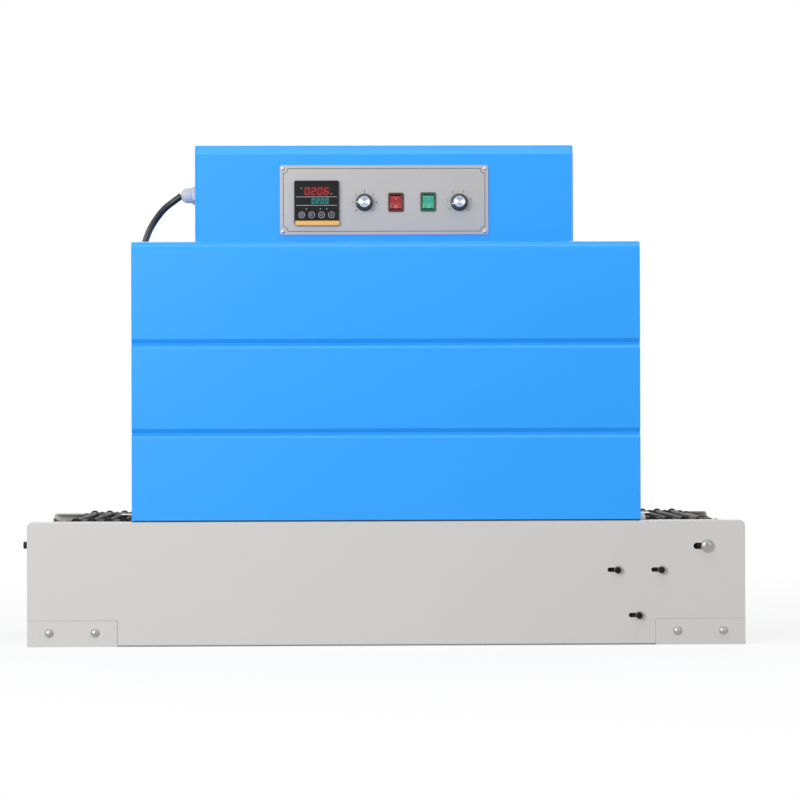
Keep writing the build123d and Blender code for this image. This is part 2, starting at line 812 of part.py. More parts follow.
# Cable gland: flange, hexagon and ribbed dome on the left end of the control box
gland_plane = Plane(origin=(-box_length / 2, gland_y, gland_z), x_dir=(0, 1, 0), z_dir=(-1, 0, 0))
dome_plane = gland_plane.offset(gland_flange + gland_hex_length)
with BuildPart() as cable_gland:
    with BuildSketch(gland_plane):
        RegularPolygon(gland_hex / 2 + gland_flange, 2 * gland_ribs)
    extrude(amount=gland_flange)
    with BuildSketch(gland_plane.offset(gland_flange)):
        RegularPolygon(gland_hex / 2, 6, major_radius=False)
    extrude(amount=gland_hex_length)
    with BuildSketch(dome_plane):
        RegularPolygon(gland_hex / 2 - gland_flange / 2, gland_ribs)
    with BuildSketch(dome_plane.offset(gland_dome_length)):
        RegularPolygon(gland_hex / 2 - 2 * gland_flange, gland_ribs)
    loft(ruled=True)
    with BuildSketch(gland_plane):
        RegularPolygon(gland_barrel, gland_ribs)
    extrude(amount=-gland_flange * 4)
cable_gland.part.label = "cable_gland"
export_step(cable_gland.part, "parts/cable_gland.step")

# Mains cord: out of the gland, down past the box's end and along the rear of the chamber top
cord_rest = chamber_top + cord_diameter / 2 + seam
gland_reach = -box_length / 2 - gland_flange - gland_hex_length - gland_dome_length
coil_outer = coil_mid_radius + coil_lanes * cord_diameter / 2
coil_entry = coil_outer - cord_diameter / 2 - seam
cord_route = [
    (gland_reach, gland_y, gland_z),
    (gland_reach - 13.0, gland_y + 1.0, gland_z - 9.5),
    (gland_reach - 29.5, gland_y + 9.5, gland_z - 21.0),
    (gland_reach - 45.0, gland_y + 27.5, gland_z - 39.0),
    (gland_reach - 56.5, gland_y + 62.0, gland_z - 54.0),
    (gland_reach - 64.5, gland_y + 104.0, gland_z - 68.0),
    (gland_reach - 71.5, gland_y + 145.5, gland_z - 79.0),
    (gland_reach - 66.0, gland_y + 186.0, gland_z - 84.0),
    (gland_reach - 51.0, gland_y + 210.0, cord_rest),
    (coil_x - 170.0, coil_y + 39.0, cord_rest),
    (coil_x - 141.0, coil_y + 50.5, cord_rest),
    (coil_x - 95.0, coil_y + 56.5, cord_rest),
    (coil_x - coil_mid_radius / 2, coil_y + coil_entry, cord_rest),
]


def corner_radii(points):
    """The largest arc that each corner's two runs allow, 0.45 of the shorter run."""
    radii = []
    for before, here, after in zip(points, points[1:], points[2:]):
        arrive = Vector(*here) - Vector(*before)
        leave = Vector(*after) - Vector(*here)
        half_turn = radians(arrive.get_angle(leave)) / 2
        radii.append(0.45 * min(arrive.length, leave.length) / tan(half_turn))
    return radii


print("cord radii", [round(radius) for radius in corner_radii(cord_route)])
with BuildPart() as power_cord:
    with BuildLine() as route:
        FilletPolyline(*cord_route, radius=corner_radii(cord_route))
    start = Vector(*cord_route[1]) - Vector(*cord_route[0])
    with BuildSketch(Plane(origin=cord_route[0], z_dir=start)):
        section = RegularPolygon(cord_diameter / 2, cord_sides)
    sweep(path=route.wires()[0], transition=Transition.RIGHT)
cord_length = route.wires()[0].length
print("cord length", round(cord_length, 1), "volume", round(power_cord.part.volume, 1))
print("section times length", round(section.area * cord_length, 1))
power_cord.part.label = "power_cord"
export_step(power_cord.part, "parts/power_cord.step")

# Coil of spare cord: behind the control box, on top of the chamber
with BuildPart() as cord_coil:
    with BuildSketch(Plane.XY.offset(chamber_top + seam)):
        with Locations((coil_x, coil_y)):
            Circle(coil_outer)
            Circle(coil_mid_radius - coil_lanes * cord_diameter / 2, mode=Mode.SUBTRACT)
    extrude(amount=coil_layers * cord_diameter)
cord_coil.part.label = "cord_coil"
export_step(cord_coil.part, "parts/cord_coil.step")

# Plug: three-pin moulded plug at the coil's far side, lying on the chamber top
plug_y = coil_y + coil_outer - plug_width / 2
plug_z = chamber_top + seam + plug_thickness / 2
sleeve_start_radius = cord_diameter / 2 + sheet / 2
plug_lane = plug_y - coil_y - sleeve_start_radius
plug_x = coil_x + (coil_outer**2 - plug_lane**2) ** 0.5 + seam
with BuildPart() as cord_plug:
    with BuildSketch(Plane.YZ.offset(plug_x + plug_sleeve)):
        with Locations((plug_y, plug_z)):
            Rectangle(plug_width, plug_thickness)
    extrude(amount=plug_length)
    chamfer(cord_plug.edges().filter_by(Axis.X), length=plug_chamfer)
    with BuildSketch(Plane.YZ.offset(plug_x)):
        with Locations((plug_y, plug_z)):
            RegularPolygon(sleeve_start_radius, 8)
    with BuildSketch(Plane.YZ.offset(plug_x + plug_sleeve)):
        with Locations((plug_y, plug_z)):
            RegularPolygon(sleeve_start_radius + sheet, 8)
    loft(ruled=True)
    with BuildSketch(Plane.YZ.offset(plug_x + plug_sleeve + plug_length)):
        with Locations((plug_y - pin_spread, plug_z), (plug_y + pin_spread, plug_z)):
            Rectangle(pin_thickness, pin_width)
        with Locations((plug_y, plug_z + pin_spread)):
            Rectangle(pin_width, pin_thickness)
    extrude(amount=pin_length)
cord_plug.part.label = "cord_plug"
export_step(cord_plug.part, "parts/cord_plug.step")
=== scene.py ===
"""Looks of a table-top shrink wrapping machine, laid out as a Blender add-on.

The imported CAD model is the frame. Each operator finishes one group of its pieces, or replaces
them with finer ones that stay where the frame has them. Lengths are in metres, unless a comment
says millimetres.
"""

import math
from functools import reduce

import bpy
import numpy as np
from bpy.props import FloatProperty, FloatVectorProperty, IntProperty, PointerProperty
from mathutils import Matrix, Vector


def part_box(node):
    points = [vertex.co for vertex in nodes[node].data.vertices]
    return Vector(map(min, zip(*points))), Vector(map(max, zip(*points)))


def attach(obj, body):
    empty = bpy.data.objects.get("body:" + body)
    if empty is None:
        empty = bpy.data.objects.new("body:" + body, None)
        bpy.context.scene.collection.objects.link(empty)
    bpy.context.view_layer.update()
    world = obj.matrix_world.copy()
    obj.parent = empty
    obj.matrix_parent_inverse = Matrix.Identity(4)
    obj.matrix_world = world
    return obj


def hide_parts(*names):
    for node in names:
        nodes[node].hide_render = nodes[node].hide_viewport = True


bl_info = {
    "name": "Shrink Tunnel Looks",
    "version": (1, 0, 0),
    "blender": (4, 5, 0),
    "location": "3D View > Sidebar > Shrink Tunnel",
    "description": "Finishes and fine pieces for a packed shrink wrapping machine",
    "category": "Object",
}

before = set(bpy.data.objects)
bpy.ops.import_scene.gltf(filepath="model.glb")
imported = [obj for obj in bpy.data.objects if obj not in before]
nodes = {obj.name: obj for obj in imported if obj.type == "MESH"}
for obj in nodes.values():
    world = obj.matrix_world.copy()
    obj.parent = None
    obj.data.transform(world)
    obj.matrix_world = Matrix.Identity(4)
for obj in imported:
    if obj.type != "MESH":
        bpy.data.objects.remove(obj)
mm = 0.001
tau = 2 * math.pi
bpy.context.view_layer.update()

# A piece's x and y axes when its z points out of that side of the machine
FRONT = (1, 0, 0), (0, 0, 1)
REAR = (-1, 0, 0), (0, 0, 1)
LEFT = (0, -1, 0), (0, 0, 1)
RIGHT = (0, 1, 0), (0, 0, 1)

# Corners nearer to each other than this are one corner
WELD = mm / 200
# Edges that bend by more degrees than this are sharp
CREASE = 40.0
WHITE = (1, 1, 1, 1)


def srgb(*levels):
    """A colour of 0 to 255 levels as the linear numbers that a shader takes."""
    share = np.array(levels) / 255
    return tuple(np.where(share > 0.04045, ((share + 0.055) / 1.055) ** 2.4, share / 12.92))


def middle(node):
    """The centre of a CAD node's box."""
    low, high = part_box(node)
    return (np.array(low) + np.array(high)) / 2


def unit(vectors):
    """Each row scaled to length one."""
    return vectors / np.linalg.norm(vectors, axis=-1, keepdims=True)


# Shapes: points and faces worked out as arrays


class Shape:
    """Points and faces of a piece. Each face group is an array with one row of corners a face."""

    def __init__(self, points, groups):
        self.points = np.asarray(points, float).reshape(-1, 3)
        self.groups = [np.asarray(group, int) for group in groups]

    def __add__(self, other):
        moved_groups = [group + len(self.points) for group in other.groups]
        return Shape(np.concatenate([self.points, other.points]), self.groups + moved_groups)

    def placed(self, origins, across=(1, 0, 0), along=(0, 1, 0)):
        """A copy at each origin: point = origin + x across + y along + z (across x along)."""
        origins, across, along = np.broadcast_arrays(*np.atleast_2d(origins, across, along))
        upward = np.cross(across, along)
        x, y, z = self.points.T[:, None, :, None]
        points = origins[:, None] + x * across[:, None] + y * along[:, None] + z * upward[:, None]
        first = np.arange(len(origins)) * len(self.points)
        groups = [
            (group[None] + first[:, None, None]).reshape(-1, group.shape[1])
            for group in self.groups
        ]
        return Shape(points, groups)


def joined(shapes):
    """Several shapes as one."""
    return reduce(Shape.__add__, shapes)


def skin(points, loop=False):
    """Quads between neighbouring rows of points, each row a closed ring. With loop the last row
    meets the first, and without it the first and the last ring are filled."""
    rows, columns = points.shape[:2]
    number = np.arange(rows * columns).reshape(rows, columns)
    beside = np.roll(number, -1, axis=1)
    if loop:
        lower, upper = slice(None), np.roll(np.arange(rows), -1)
    else:
        lower, upper = slice(None, -1), slice(1, None)
    quads = np.stack([number[lower], beside[lower], beside[upper], number[upper]], axis=-1)
    groups = [quads.reshape(-1, 4)]
    if not loop:
        groups += [number[:1, ::-1], number[-1:]]
    return Shape(points, groups)


def polar(angle, reach, level):
    """Points at those angles about z, reach away from it and at that level."""
    x, y = reach * np.cos(angle), reach * np.sin(angle)
    return np.stack(np.broadcast_arrays(x, y, level), axis=-1)


def rings(radius, height, sides, ripple=0.0, count=0):
    """Rings about z. At angle t a ring's reach is radius - ripple (1 - cos(count t)) / 2, and
    radius, height and ripple have one value for each ring."""
    angle = np.linspace(0, tau, sides, endpoint=False)
    radius, height, ripple = np.broadcast_arrays(*np.atleast_1d(radius, height, ripple))
    reach = radius[:, None] - ripple[:, None] * (1 - np.cos(count * angle)) / 2
    return polar(angle, reach, height[:, None])


def turned(profile, sides=32, bored=False):
    """A turned piece about z from rows of (radius, height), outside of the profile upwards."""
    radius, height = np.array(profile, float).T
    return skin(rings(radius, height, sides), loop=bored)


def eased_rod(width, length, ease, sides):
    """A cylinder about z from level 0 to its length, with eased rims."""
    half = width / 2
    lower = [(half - ease, 0), (half, ease)]
    return turned([*lower, (half, length - ease), (half - ease, length)], sides)


def washer(outer, inner, thickness, sides=32, ease=0.2 * mm):
    """A flat ring about z whose outer rims are eased."""
    return turned(
        [
            (inner, 0),
            (outer - ease, 0),
            (outer, ease),
            (outer, thickness - ease),
            (outer - ease, thickness),
            (inner, thickness),
        ],
        sides,
        bored=True,
    )


def inset(outline, distance):
    """An outline moved inwards: each corner goes by distance (n1 + n2) / (1 + n1.n2)."""
    edge = unit(np.roll(outline, -1, axis=0) - outline)
    normal = np.stack([edge[:, 1], -edge[:, 0]], axis=1)
    before = np.roll(normal, 1, axis=0)
    share = 1 + np.sum(normal * before, axis=1, keepdims=True)
    return outline - distance * (normal + before) / share


def slab(outline, depth, ease=0.0, steps=1):
    """A plate from z 0 to depth. At angle t of a quarter turn its rim is inset by
    ease (1 - sin t) at height ease (1 - cos t), and the same at the top, mirrored."""
    outline = np.asarray(outline, float)
    turn = np.linspace(0, math.pi / 2, steps + 1)
    low = [(ease * (1 - math.sin(t)), ease * (1 - math.cos(t))) for t in turn]
    if not ease:
        low = [(0.0, 0.0)]
    levels = low + [(shrink, depth - height) for shrink, height in low[::-1]]
    points = [
        np.column_stack([inset(outline, shrink), np.full(len(outline), height)])
        for shrink, height in levels
    ]
    return skin(np.array(points))


def eased_path(corners, radii, steps=6):
    """A path through corners whose inner corners are arcs of the given radii."""
    corners = np.array(corners, float)
    points = [corners[:1]]
    for before, corner, after, radius in zip(corners, corners[1:], corners[2:], radii):
        into, out = unit(corner - before), unit(after - corner)
        turn = math.acos(np.clip(into @ out, -1, 1))
        aside = np.array([-into[1], into[0]]) * np.sign(into[0] * out[1] - into[1] * out[0])
        centre = corner - radius * math.tan(turn / 2) * into + radius * aside
        t = np.linspace(0, turn, steps + 1)[:, None]
        points.append(centre + radius * (np.sin(t) * into - np.cos(t) * aside))
    return np.concatenate([*points, corners[-1:]])


def bent_sheet(path, thickness, width, ease=0.0):
    """A sheet that follows a path in the x-y plane, width wide along z about z 0. Its
    thickness lies to the right of the path, and its long rims are eased."""
    edge = unit(np.diff(path, axis=0))
    normal = np.stack([edge[:, 1], -edge[:, 0]], axis=1)
    before, after = np.vstack([normal[:1], normal]), np.vstack([normal, normal[-1:]])
    inner = (before + after) / (1 + np.sum(before * after, axis=1, keepdims=True))
    half = width / 2
    section = [
        (0, ease - half),
        (0, half - ease),
        (ease, half),
        (thickness - ease, half),
        (thickness, half - ease),
        (thickness, ease - half),
        (thickness - ease, -half),
        (ease, -half),
    ]
    rows = [np.column_stack([path + depth * inner, np.full(len(path), z)]) for depth, z in section]
    return skin(np.stack(rows, axis=1))


def block(low, high, ease=0.0):
    """A box between two corners, eased along its rims in the x-y plane."""
    low, high = np.array(low, float), np.array(high, float)
    size, centre = high - low, (low + high) / 2
    corner = 0.001 * mm
    plate = slab(rounded(size[0], size[1], corner, 0), size[2], ease)
    return plate.placed((centre[0], centre[1], low[2]))


def rounded(width, height, radius, steps=5):
    """A rectangle's outline with quarter circles at its corners, counterclockwise."""
    turn = np.linspace(0, math.pi / 2, steps + 1)
    corner = radius * np.stack([np.cos(turn), np.sin(turn)], axis=1)
    reach = np.array([width / 2 - radius, height / 2 - radius])
    quarters = []
    for quarter in range(4):
        side = np.array([1 if quarter in (0, 3) else -1, 1 if quarter < 2 else -1])
        cos, sin = ((1, 0), (0, 1), (-1, 0), (0, -1))[quarter]
        quarters.append(corner @ np.array([[cos, sin], [-sin, cos]]) + side * reach)
    return np.concatenate(quarters)


def band(outline, width, depth):
    """A flat closed line of that width along an outline, depth high."""
    outer, inner = inset(outline, -width / 2), inset(outline, width / 2)
    ring = [(inner, 0), (outer, 0), (outer, depth), (inner, depth)]
    points = [np.column_stack([edge, np.full(len(edge), height)]) for edge, height in ring]
    return skin(np.array(points), loop=True)


def strokes(lines, width, depth):
    """Straight flat strokes from (x1, y1) to (x2, y2), each a thin box."""
    lines = np.atleast_2d(np.asarray(lines, float))
    start, end = lines[:, :2], lines[:, 2:]
    along = end - start
    length = np.linalg.norm(along, axis=1)
    square = slab([(0, -0.5), (1, -0.5), (1, 0.5), (0, 0.5)], depth)
    parts = []
    for first, heading, reach in zip(start, unit(along), length):
        scaled = Shape(square.points * (reach, width, 1), square.groups)
        across = (heading[0], heading[1], 0)
        side = (-heading[1], heading[0], 0)
        parts.append(scaled.placed((first[0], first[1], 0), across, side))
    return joined(parts)


def figures(text, height, depth):
    """Figures of Blender's own font as a thin solid about their own middle."""
    size_per_height = 1.45
    curve = bpy.data.curves.new("figures", "FONT")
    curve.body = text
    curve.size = height * size_per_height
    curve.extrude = depth / 2
    curve.resolution_u = 3
    holder = bpy.data.objects.new("figures", curve)
    mesh = bpy.data.meshes.new_from_object(holder)
    mesh.calc_loop_triangles()
    points = np.zeros(len(mesh.vertices) * 3)
    mesh.vertices.foreach_get("co", points)
    points = points.reshape(-1, 3)
    triangles = np.zeros(len(mesh.loop_triangles) * 3, int)
    mesh.loop_triangles.foreach_get("vertices", triangles)
    points -= (points.min(axis=0) + points.max(axis=0)) / 2
    bpy.data.objects.remove(holder)
    bpy.data.curves.remove(curve)
    bpy.data.meshes.remove(mesh)
    return Shape(points + (0, 0, depth / 2), [triangles.reshape(-1, 3)])


def build(name, shape, finish, body="machine", replaces=(), crease=CREASE, welded=False):
    """Makes the object of a shape, gives it its finish and slot, and lets it ride on its body."""
    counts = np.concatenate([np.full(len(group), group.shape[1]) for group in shape.groups])
    corners = np.concatenate([group.ravel() for group in shape.groups])
    mesh = bpy.data.meshes.new(name)
    mesh.vertices.add(len(shape.points))
    mesh.vertices.foreach_set("co", shape.points.ravel())
    mesh.loops.add(len(corners))
    mesh.loops.foreach_set("vertex_index", corners)
    mesh.polygons.add(len(counts))
    mesh.polygons.foreach_set("loop_start", np.concatenate([[0], np.cumsum(counts)[:-1]]))
    mesh.update(calc_edges=True)
    mesh.shade_smooth()
    mesh.set_sharp_from_angle(angle=math.radians(crease))
    piece = bpy.data.objects.new(name, mesh)
    bpy.context.scene.collection.objects.link(piece)
    mesh.materials.append(finish)
    if welded:
        piece.modifiers.new("weld", "WELD").merge_threshold = WELD
    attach(piece, body)
    if replaces:
        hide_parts(*replaces)
    return piece


def dress(finish, *names, ease=0.0):
    """Gives CAD nodes their finish and, where ease is set, a small round along sharp edges."""
    for name in names:
        node = nodes[name]
        node.data.materials.clear()
        node.data.materials.append(finish)
        if ease:
            node.modifiers.new("weld", "WELD").merge_threshold = WELD
            rim = node.modifiers.new("rim", "BEVEL")
            rim.width = ease
            rim.segments = 2
            rim.limit_method = "ANGLE"
            rim.angle_limit = math.radians(CREASE)


# Finishes: materials worked out on each piece's own coordinates


class Wire:
    """A shader socket whose arithmetic adds Math nodes."""

    def __init__(self, finish, socket):
        self.finish = finish
        self.socket = socket

    def __add__(self, other):
        return self.finish.math("ADD", self, other)

    def __sub__(self, other):
        return self.finish.math("SUBTRACT", self, other)

    def __rsub__(self, other):
        return self.finish.math("SUBTRACT", other, self)

    def __mul__(self, other):
        return self.finish.math("MULTIPLY", self, other)

    __radd__ = __add__
    __rmul__ = __mul__


class Finish:
    """One material, or the world, while its nodes are made."""

    def __init__(self, name, library=None):
        self.holder = (bpy.data.materials if library is None else library).new(name)
        self.holder.use_nodes = True
        self.tree = self.holder.node_tree
        self.tree.nodes.clear()

    def add(self, kind, settings=None, sockets=None, output=0):
        """Makes a node, sets its settings first and then the values or links of its sockets."""
        node = self.tree.nodes.new(kind)
        for key, value in (settings or {}).items():
            setattr(node, key, value)
        for key, value in (sockets or {}).items():
            if isinstance(value, Wire):
                self.tree.links.new(value.socket, node.inputs[key])
            else:
                node.inputs[key].default_value = value
        return Wire(self, node.outputs[output]) if output is not None else None

    def math(self, operation, *values):
        return self.add("ShaderNodeMath", {"operation": operation}, dict(enumerate(values)))

    def place(self, stretch=(1, 1, 1)):
        """The piece's own coordinates, stretched along each axis."""
        spot = self.add("ShaderNodeTexCoord", output="Object")
        return self.add("ShaderNodeMapping", None, {"Vector": spot, "Scale": stretch})

    def noise(self, scale, detail=2.0, stretch=(1, 1, 1)):
        return self.add(
            "ShaderNodeTexNoise",
            None,
            {"Vector": self.place(stretch), "Scale": scale, "Detail": detail},
        )

    def span(self, value, low, high, to_low=0.0, to_high=1.0):
        """Maps a value from low..high to to_low..to_high and holds it there."""
        return self.add(
            "ShaderNodeMapRange",
            None,
            {
                "Value": value,
                "From Min": low,
                "From Max": high,
                "To Min": to_low,
                "To Max": to_high,
            },
        )

    def mix(self, share, first, second):
        """A colour between two colours."""
        colours = [
            colour if isinstance(colour, Wire) else (*colour[:3], 1.0)
            for colour in (first, second)
        ]
        settings = {"data_type": "RGBA"}
        return self.add("ShaderNodeMix", settings, {0: share, 6: colours[0], 7: colours[1]}, 2)

    def shade(self, share, colour, spread):
        """A colour that goes from a little darker to a little lighter."""
        darker = [level * (1 - spread) for level in colour[:3]]
        lighter = [min(1.0, level * (1 + spread)) for level in colour[:3]]
        return self.mix(share, darker, lighter)

    def axes(self, spot):
        """A place's share along X and along Y."""
        return [self.add("ShaderNodeSeparateXYZ", None, {0: spot}, axis) for axis in ("X", "Y")]

    def rays(self):
        """Three sockets: 1 for a ray of the camera, of a reflection and through glass."""
        kinds = ("Camera", "Glossy", "Transmission")
        return [self.add("ShaderNodeLightPath", output=f"Is {kind} Ray") for kind in kinds]

    def relief(self, height, depth, strength=1.0):
        """The surface's normal, bent by a height pattern that is depth metres deep."""
        return self.add(
            "ShaderNodeBump", None, {"Height": height, "Distance": depth, "Strength": strength}
        )

    def done(self, **sockets):
        """Joins the sockets to a Principled shader and returns the material."""
        named = {key.replace("_", " "): value for key, value in sockets.items()}
        for key, value in named.items():
            if "Color" in key and not isinstance(value, Wire):
                named[key] = (*value[:3], 1.0)
        return self.shown(self.add("ShaderNodeBsdfPrincipled", None, named))

    def shown(self, shader, output="ShaderNodeOutputMaterial"):
        """Joins a shader to the output and returns the material, or the world."""
        self.add(output, None, {"Surface": shader}, None)
        return self.holder


def powder_coat(name, colour, gloss=0.3):
    """Baked powder paint: an even colour with the faint orange peel of the process."""
    coat = Finish(name)
    cloud = coat.noise(2.5, 3)
    peel = coat.noise(420, 1)
    fine = coat.noise(1400, 2)
    return coat.done(
        Base_Color=coat.shade(cloud, colour, 0.025),
        Roughness=gloss + 0.1 * cloud + 0.04 * fine,
        Specular_IOR_Level=0.5,
        Normal=coat.relief(peel + 0.35 * fine, 0.05 * mm, 0.35),
    )


def zinc_sheet(name, colour):
    """Zinc-coated sheet: large faint crystals, each with its own brightness and sheen."""
    zinc = Finish(name)
    spot = zinc.place()
    crystal = zinc.add("ShaderNodeTexVoronoi", None, {"Vector": spot, "Scale": 55.0}, "Color")
    level = zinc.add("ShaderNodeSeparateColor", None, {0: crystal})
    fine = zinc.noise(300, 3)
    return zinc.done(
        Base_Color=zinc.shade(level * 0.7 + fine * 0.3, colour, 0.16),
        Metallic=1.0,
        Roughness=0.3 + 0.16 * level + 0.08 * fine,
    )


def brushed_metal(name, colour, stretch):
    """Metal brushed along its length: noise drawn out into hair lines."""
    hair = Finish(name)
    lines = hair.noise(1.0, 4, stretch)
    cloud = hair.noise(9, 2)
    return hair.done(
        Base_Color=hair.shade(lines * 0.7 + cloud * 0.3, colour, 0.09),
        Metallic=0.6,
        Roughness=0.4 + 0.12 * lines,
        Normal=hair.relief(lines, 0.02 * mm, 0.3),
    )


def machined(name, colour, rough=0.2, marks=900.0):
    """Turned or drawn steel: fine tool marks and slightly uneven gloss."""
    steel = Finish(name)
    fine = steel.noise(marks, 2)
    smear = steel.noise(60, 3)
    return steel.done(
        Base_Color=steel.shade(smear, colour, 0.08),
        Metallic=1.0,
        Roughness=rough + 0.1 * fine + 0.1 * smear,
        Normal=steel.relief(fine, 0.01 * mm, 0.3),
    )


def oiled_steel(name, colour):
    """Chain steel: dark oil film that thins out in patches."""
    chain = Finish(name)
    film = chain.span(chain.noise(160, 4), 0.42, 0.62)
    fine = chain.noise(1200, 2)
    bare = [min(1.0, level * 2.3) for level in colour[:3]]
    return chain.done(
        Base_Color=chain.mix(film, colour, bare),
        Metallic=0.9,
        Roughness=0.42 - 0.14 * film + 0.08 * fine,
        Normal=chain.relief(fine, 0.02 * mm, 0.4),
    )


def moulded(name, colour, rough=0.45, grain=1500.0, depth=0.02, coat=0.0, shine=0.5):
    """Moulded plastic or rubber: spark-eroded grain, depth millimetres deep, and slight changes
    of shine."""
    plastic = Finish(name)
    pits = plastic.noise(grain, 3)
    cloud = plastic.noise(45, 2)
    return plastic.done(
        Base_Color=plastic.shade(cloud * 0.6 + pits * 0.4, colour, 0.12),
        Roughness=rough + 0.08 * pits + 0.06 * cloud,
        Specular_IOR_Level=shine,
        Coat_Weight=coat,
        Normal=plastic.relief(pits, depth * mm, 0.5),
    )


def sleeve_finish(name, colour):
    """Heat-proof sleeve on a rod: dull black, scuffed in patches and faintly ringed."""
    rod = Finish(name)
    ring = rod.noise(1.0, 3, (40, 520, 40))
    scuff = rod.span(rod.noise(70, 4), 0.5, 0.72)
    worn = [level * 2.0 + 0.008 for level in colour[:3]]
    return rod.done(
        Base_Color=rod.mix(scuff * 0.6 + ring * 0.15, colour, worn),
        Roughness=0.5 + 0.16 * ring - 0.08 * scuff,
        Specular_IOR_Level=0.12,
        Normal=rod.relief(ring, 0.05 * mm, 0.4),
    )


def cast_alloy(name, colour):
    """Die-cast alloy: blasted skin with soft mottling."""
    cast = Finish(name)
    skin_grain = cast.noise(650, 3)
    cloud = cast.noise(30, 3)
    return cast.done(
        Base_Color=cast.shade(cloud, colour, 0.15),
        Roughness=0.44 + 0.14 * skin_grain,
        Specular_IOR_Level=0.1,
        Normal=cast.relief(skin_grain, 0.08 * mm, 0.5),
    )


def lamp_lens(name, colour, glow):
    """Translucent coloured plastic with a lamp behind it, ribbed inside."""
    lens = Finish(name)
    ribs = lens.noise(1.0, 2, (900, 60, 60))
    cloud = lens.noise(240, 2)
    lit = lens.shade(cloud * 0.5 + ribs * 0.5, colour, 0.22)
    return lens.done(
        Base_Color=lit,
        Roughness=0.16 + 0.08 * cloud,
        Emission_Color=lit,
        Emission_Strength=glow,
        Coat_Weight=0.4,
    )


def glowing(name, colour, glow):
    """Lit figures behind a dark window."""
    lamp = Finish(name)
    flicker = lamp.noise(900, 1)
    tint = lamp.shade(flicker, colour, 0.15)
    return lamp.done(
        Base_Color=tint, Roughness=0.3, Emission_Color=tint, Emission_Strength=glow
    )


def printed(name, colour):
    """Screen-printed ink: matt, with tiny breaks in its cover."""
    ink = Finish(name)
    break_up = ink.noise(2600, 2)
    return ink.done(
        Base_Color=ink.shade(break_up, colour, 0.2), Roughness=0.5 + 0.1 * break_up
    )


def coated_cloth(name, colour):
    """Coated glass cloth: warp and weft show as crossing waves on the cloth's own map."""
    thread_pitch = 1.1 * mm
    cloth = Finish(name)
    spot = cloth.add("ShaderNodeTexCoord", output="UV")
    warp, weft = (cloth.math("SINE", part * (tau / thread_pitch)) for part in cloth.axes(spot))
    weave = warp * weft * 0.5 + 0.5
    cloud = cloth.noise(20, 3)
    return cloth.done(
        Base_Color=cloth.shade(weave * 0.5 + cloud * 0.5, colour, 0.3),
        Roughness=0.42 + 0.12 * cloud,
        Sheen_Weight=0.1,
        Normal=cloth.relief(weave, 0.12 * mm, 0.5),
    )


# Settings


def colour_property(name, description, default):
    return FloatVectorProperty(
        name=name, description=description, default=default, subtype="COLOR", size=3, min=0, max=1
    )


def length_property(name, description, default):
    return FloatProperty(name=name, description=description, default=default, unit="LENGTH")


class BaseSettings(bpy.types.PropertyGroup):
    """Sizes and colours of the base"""

    paint: colour_property("Paint", "Colour of the base's powder coat", srgb(201, 199, 197))
    foot_screw: length_property("Foot screw", "Diameter of the feet's round heads", 13 * mm)
    motor_screw: length_property("Motor screw", "Diameter of the motor screws' heads", 10.5 * mm)
    shaft_screw: length_property("Shaft screw", "Diameter of the shaft screws' heads", 15.4 * mm)


class ConveyorSettings(bpy.types.PropertyGroup):
    """Sizes and colours of the conveyor"""

    steel: colour_property("Chain steel", "Colour of the oiled chains", (0.07, 0.068, 0.065))
    sleeve: colour_property("Sleeve", "Colour of the rods' sleeves", (0.012, 0.012, 0.012))
    pitch: length_property("Pitch", "Distance from one chain pin to the next", 12.7 * mm)
    teeth: IntProperty(name="Teeth", description="Teeth of each conveyor sprocket", default=19)
    rod_width: length_property("Rod", "Diameter of a rod with its sleeve", 11 * mm)
    disc_width: length_property("End disc", "Diameter of the rods' end discs", 16 * mm)


class ChamberSettings(bpy.types.PropertyGroup):
    """Colours of the chamber and the curl of its curtains"""

    paint: colour_property("Paint", "Colour of the chamber's powder coat", srgb(28, 156, 247))
    zinc: colour_property("Zinc", "Colour of the zinc-coated sheet", (0.6, 0.61, 0.62))
    cloth: colour_property("Curtain", "Colour of the coated curtain cloth", (0.17, 0.085, 0.04))
    curl: length_property("Curl", "How far a curtain strip's lower end curls", 5 * mm)


class PanelSettings(bpy.types.PropertyGroup):
    """Sizes and colours of the control panel"""

    plate: colour_property("Plate", "Colour of the brushed faceplate", srgb(168, 166, 166))
    red: colour_property("Red", "Colour of the red rocker", (0.36, 0.01, 0.006))
    green: colour_property("Green", "Colour of the green rocker", (0.026, 0.36, 0.21))
    figure_height: length_property("Figures", "Height of the figures on the dials", 3.4 * mm)
    strip: colour_property("Strip", "Colour of the controller's lower strip", srgb(236, 178, 92))


class CordSettings(bpy.types.PropertyGroup):
    """Size and colour of the mains cord"""

    width: length_property("Diameter", "Diameter of the cord's jacket", 11 * mm)
    jacket: colour_property("Jacket", "Colour of the cord and plug", (0.016, 0.016, 0.017))
    nylon: colour_property("Gland", "Colour of the gland's nylon", srgb(196, 196, 197))


class StageSettings(bpy.types.PropertyGroup):
    """Light and camera"""

    key_power: FloatProperty(
        name="Key light", description="Power of the large soft light", default=150.0, unit="POWER"
    )
    sky: FloatProperty(name="Sky", description="Strength of the even light around", default=0.5)
    floor_glow: FloatProperty(
        name="Floor glow", description="Share of plain white in the near floor", default=0.78
    )
    lens: FloatProperty(
        name="Lens", description="Focal length of the camera in millimetres", default=159.65
    )


# Base


def domed_head(width, height):
    """A round head about z: a short rim, then height cos t over radius sin t."""
    rim, sunk = 0.6 * mm, 0.4 * mm
    turn = np.linspace(math.pi / 2, 0.02, 8)
    dome = [(width / 2 * math.sin(t), rim + height * math.cos(t)) for t in turn]
    return turned([(width / 2, -sunk), *dome], 28)


def hexagon(across_flats, angle):
    """How far a hexagon's outline lies from its centre at each angle."""
    fold = (angle + math.pi / 6) % (math.pi / 3) - math.pi / 6
    return across_flats / 2 / np.cos(fold)


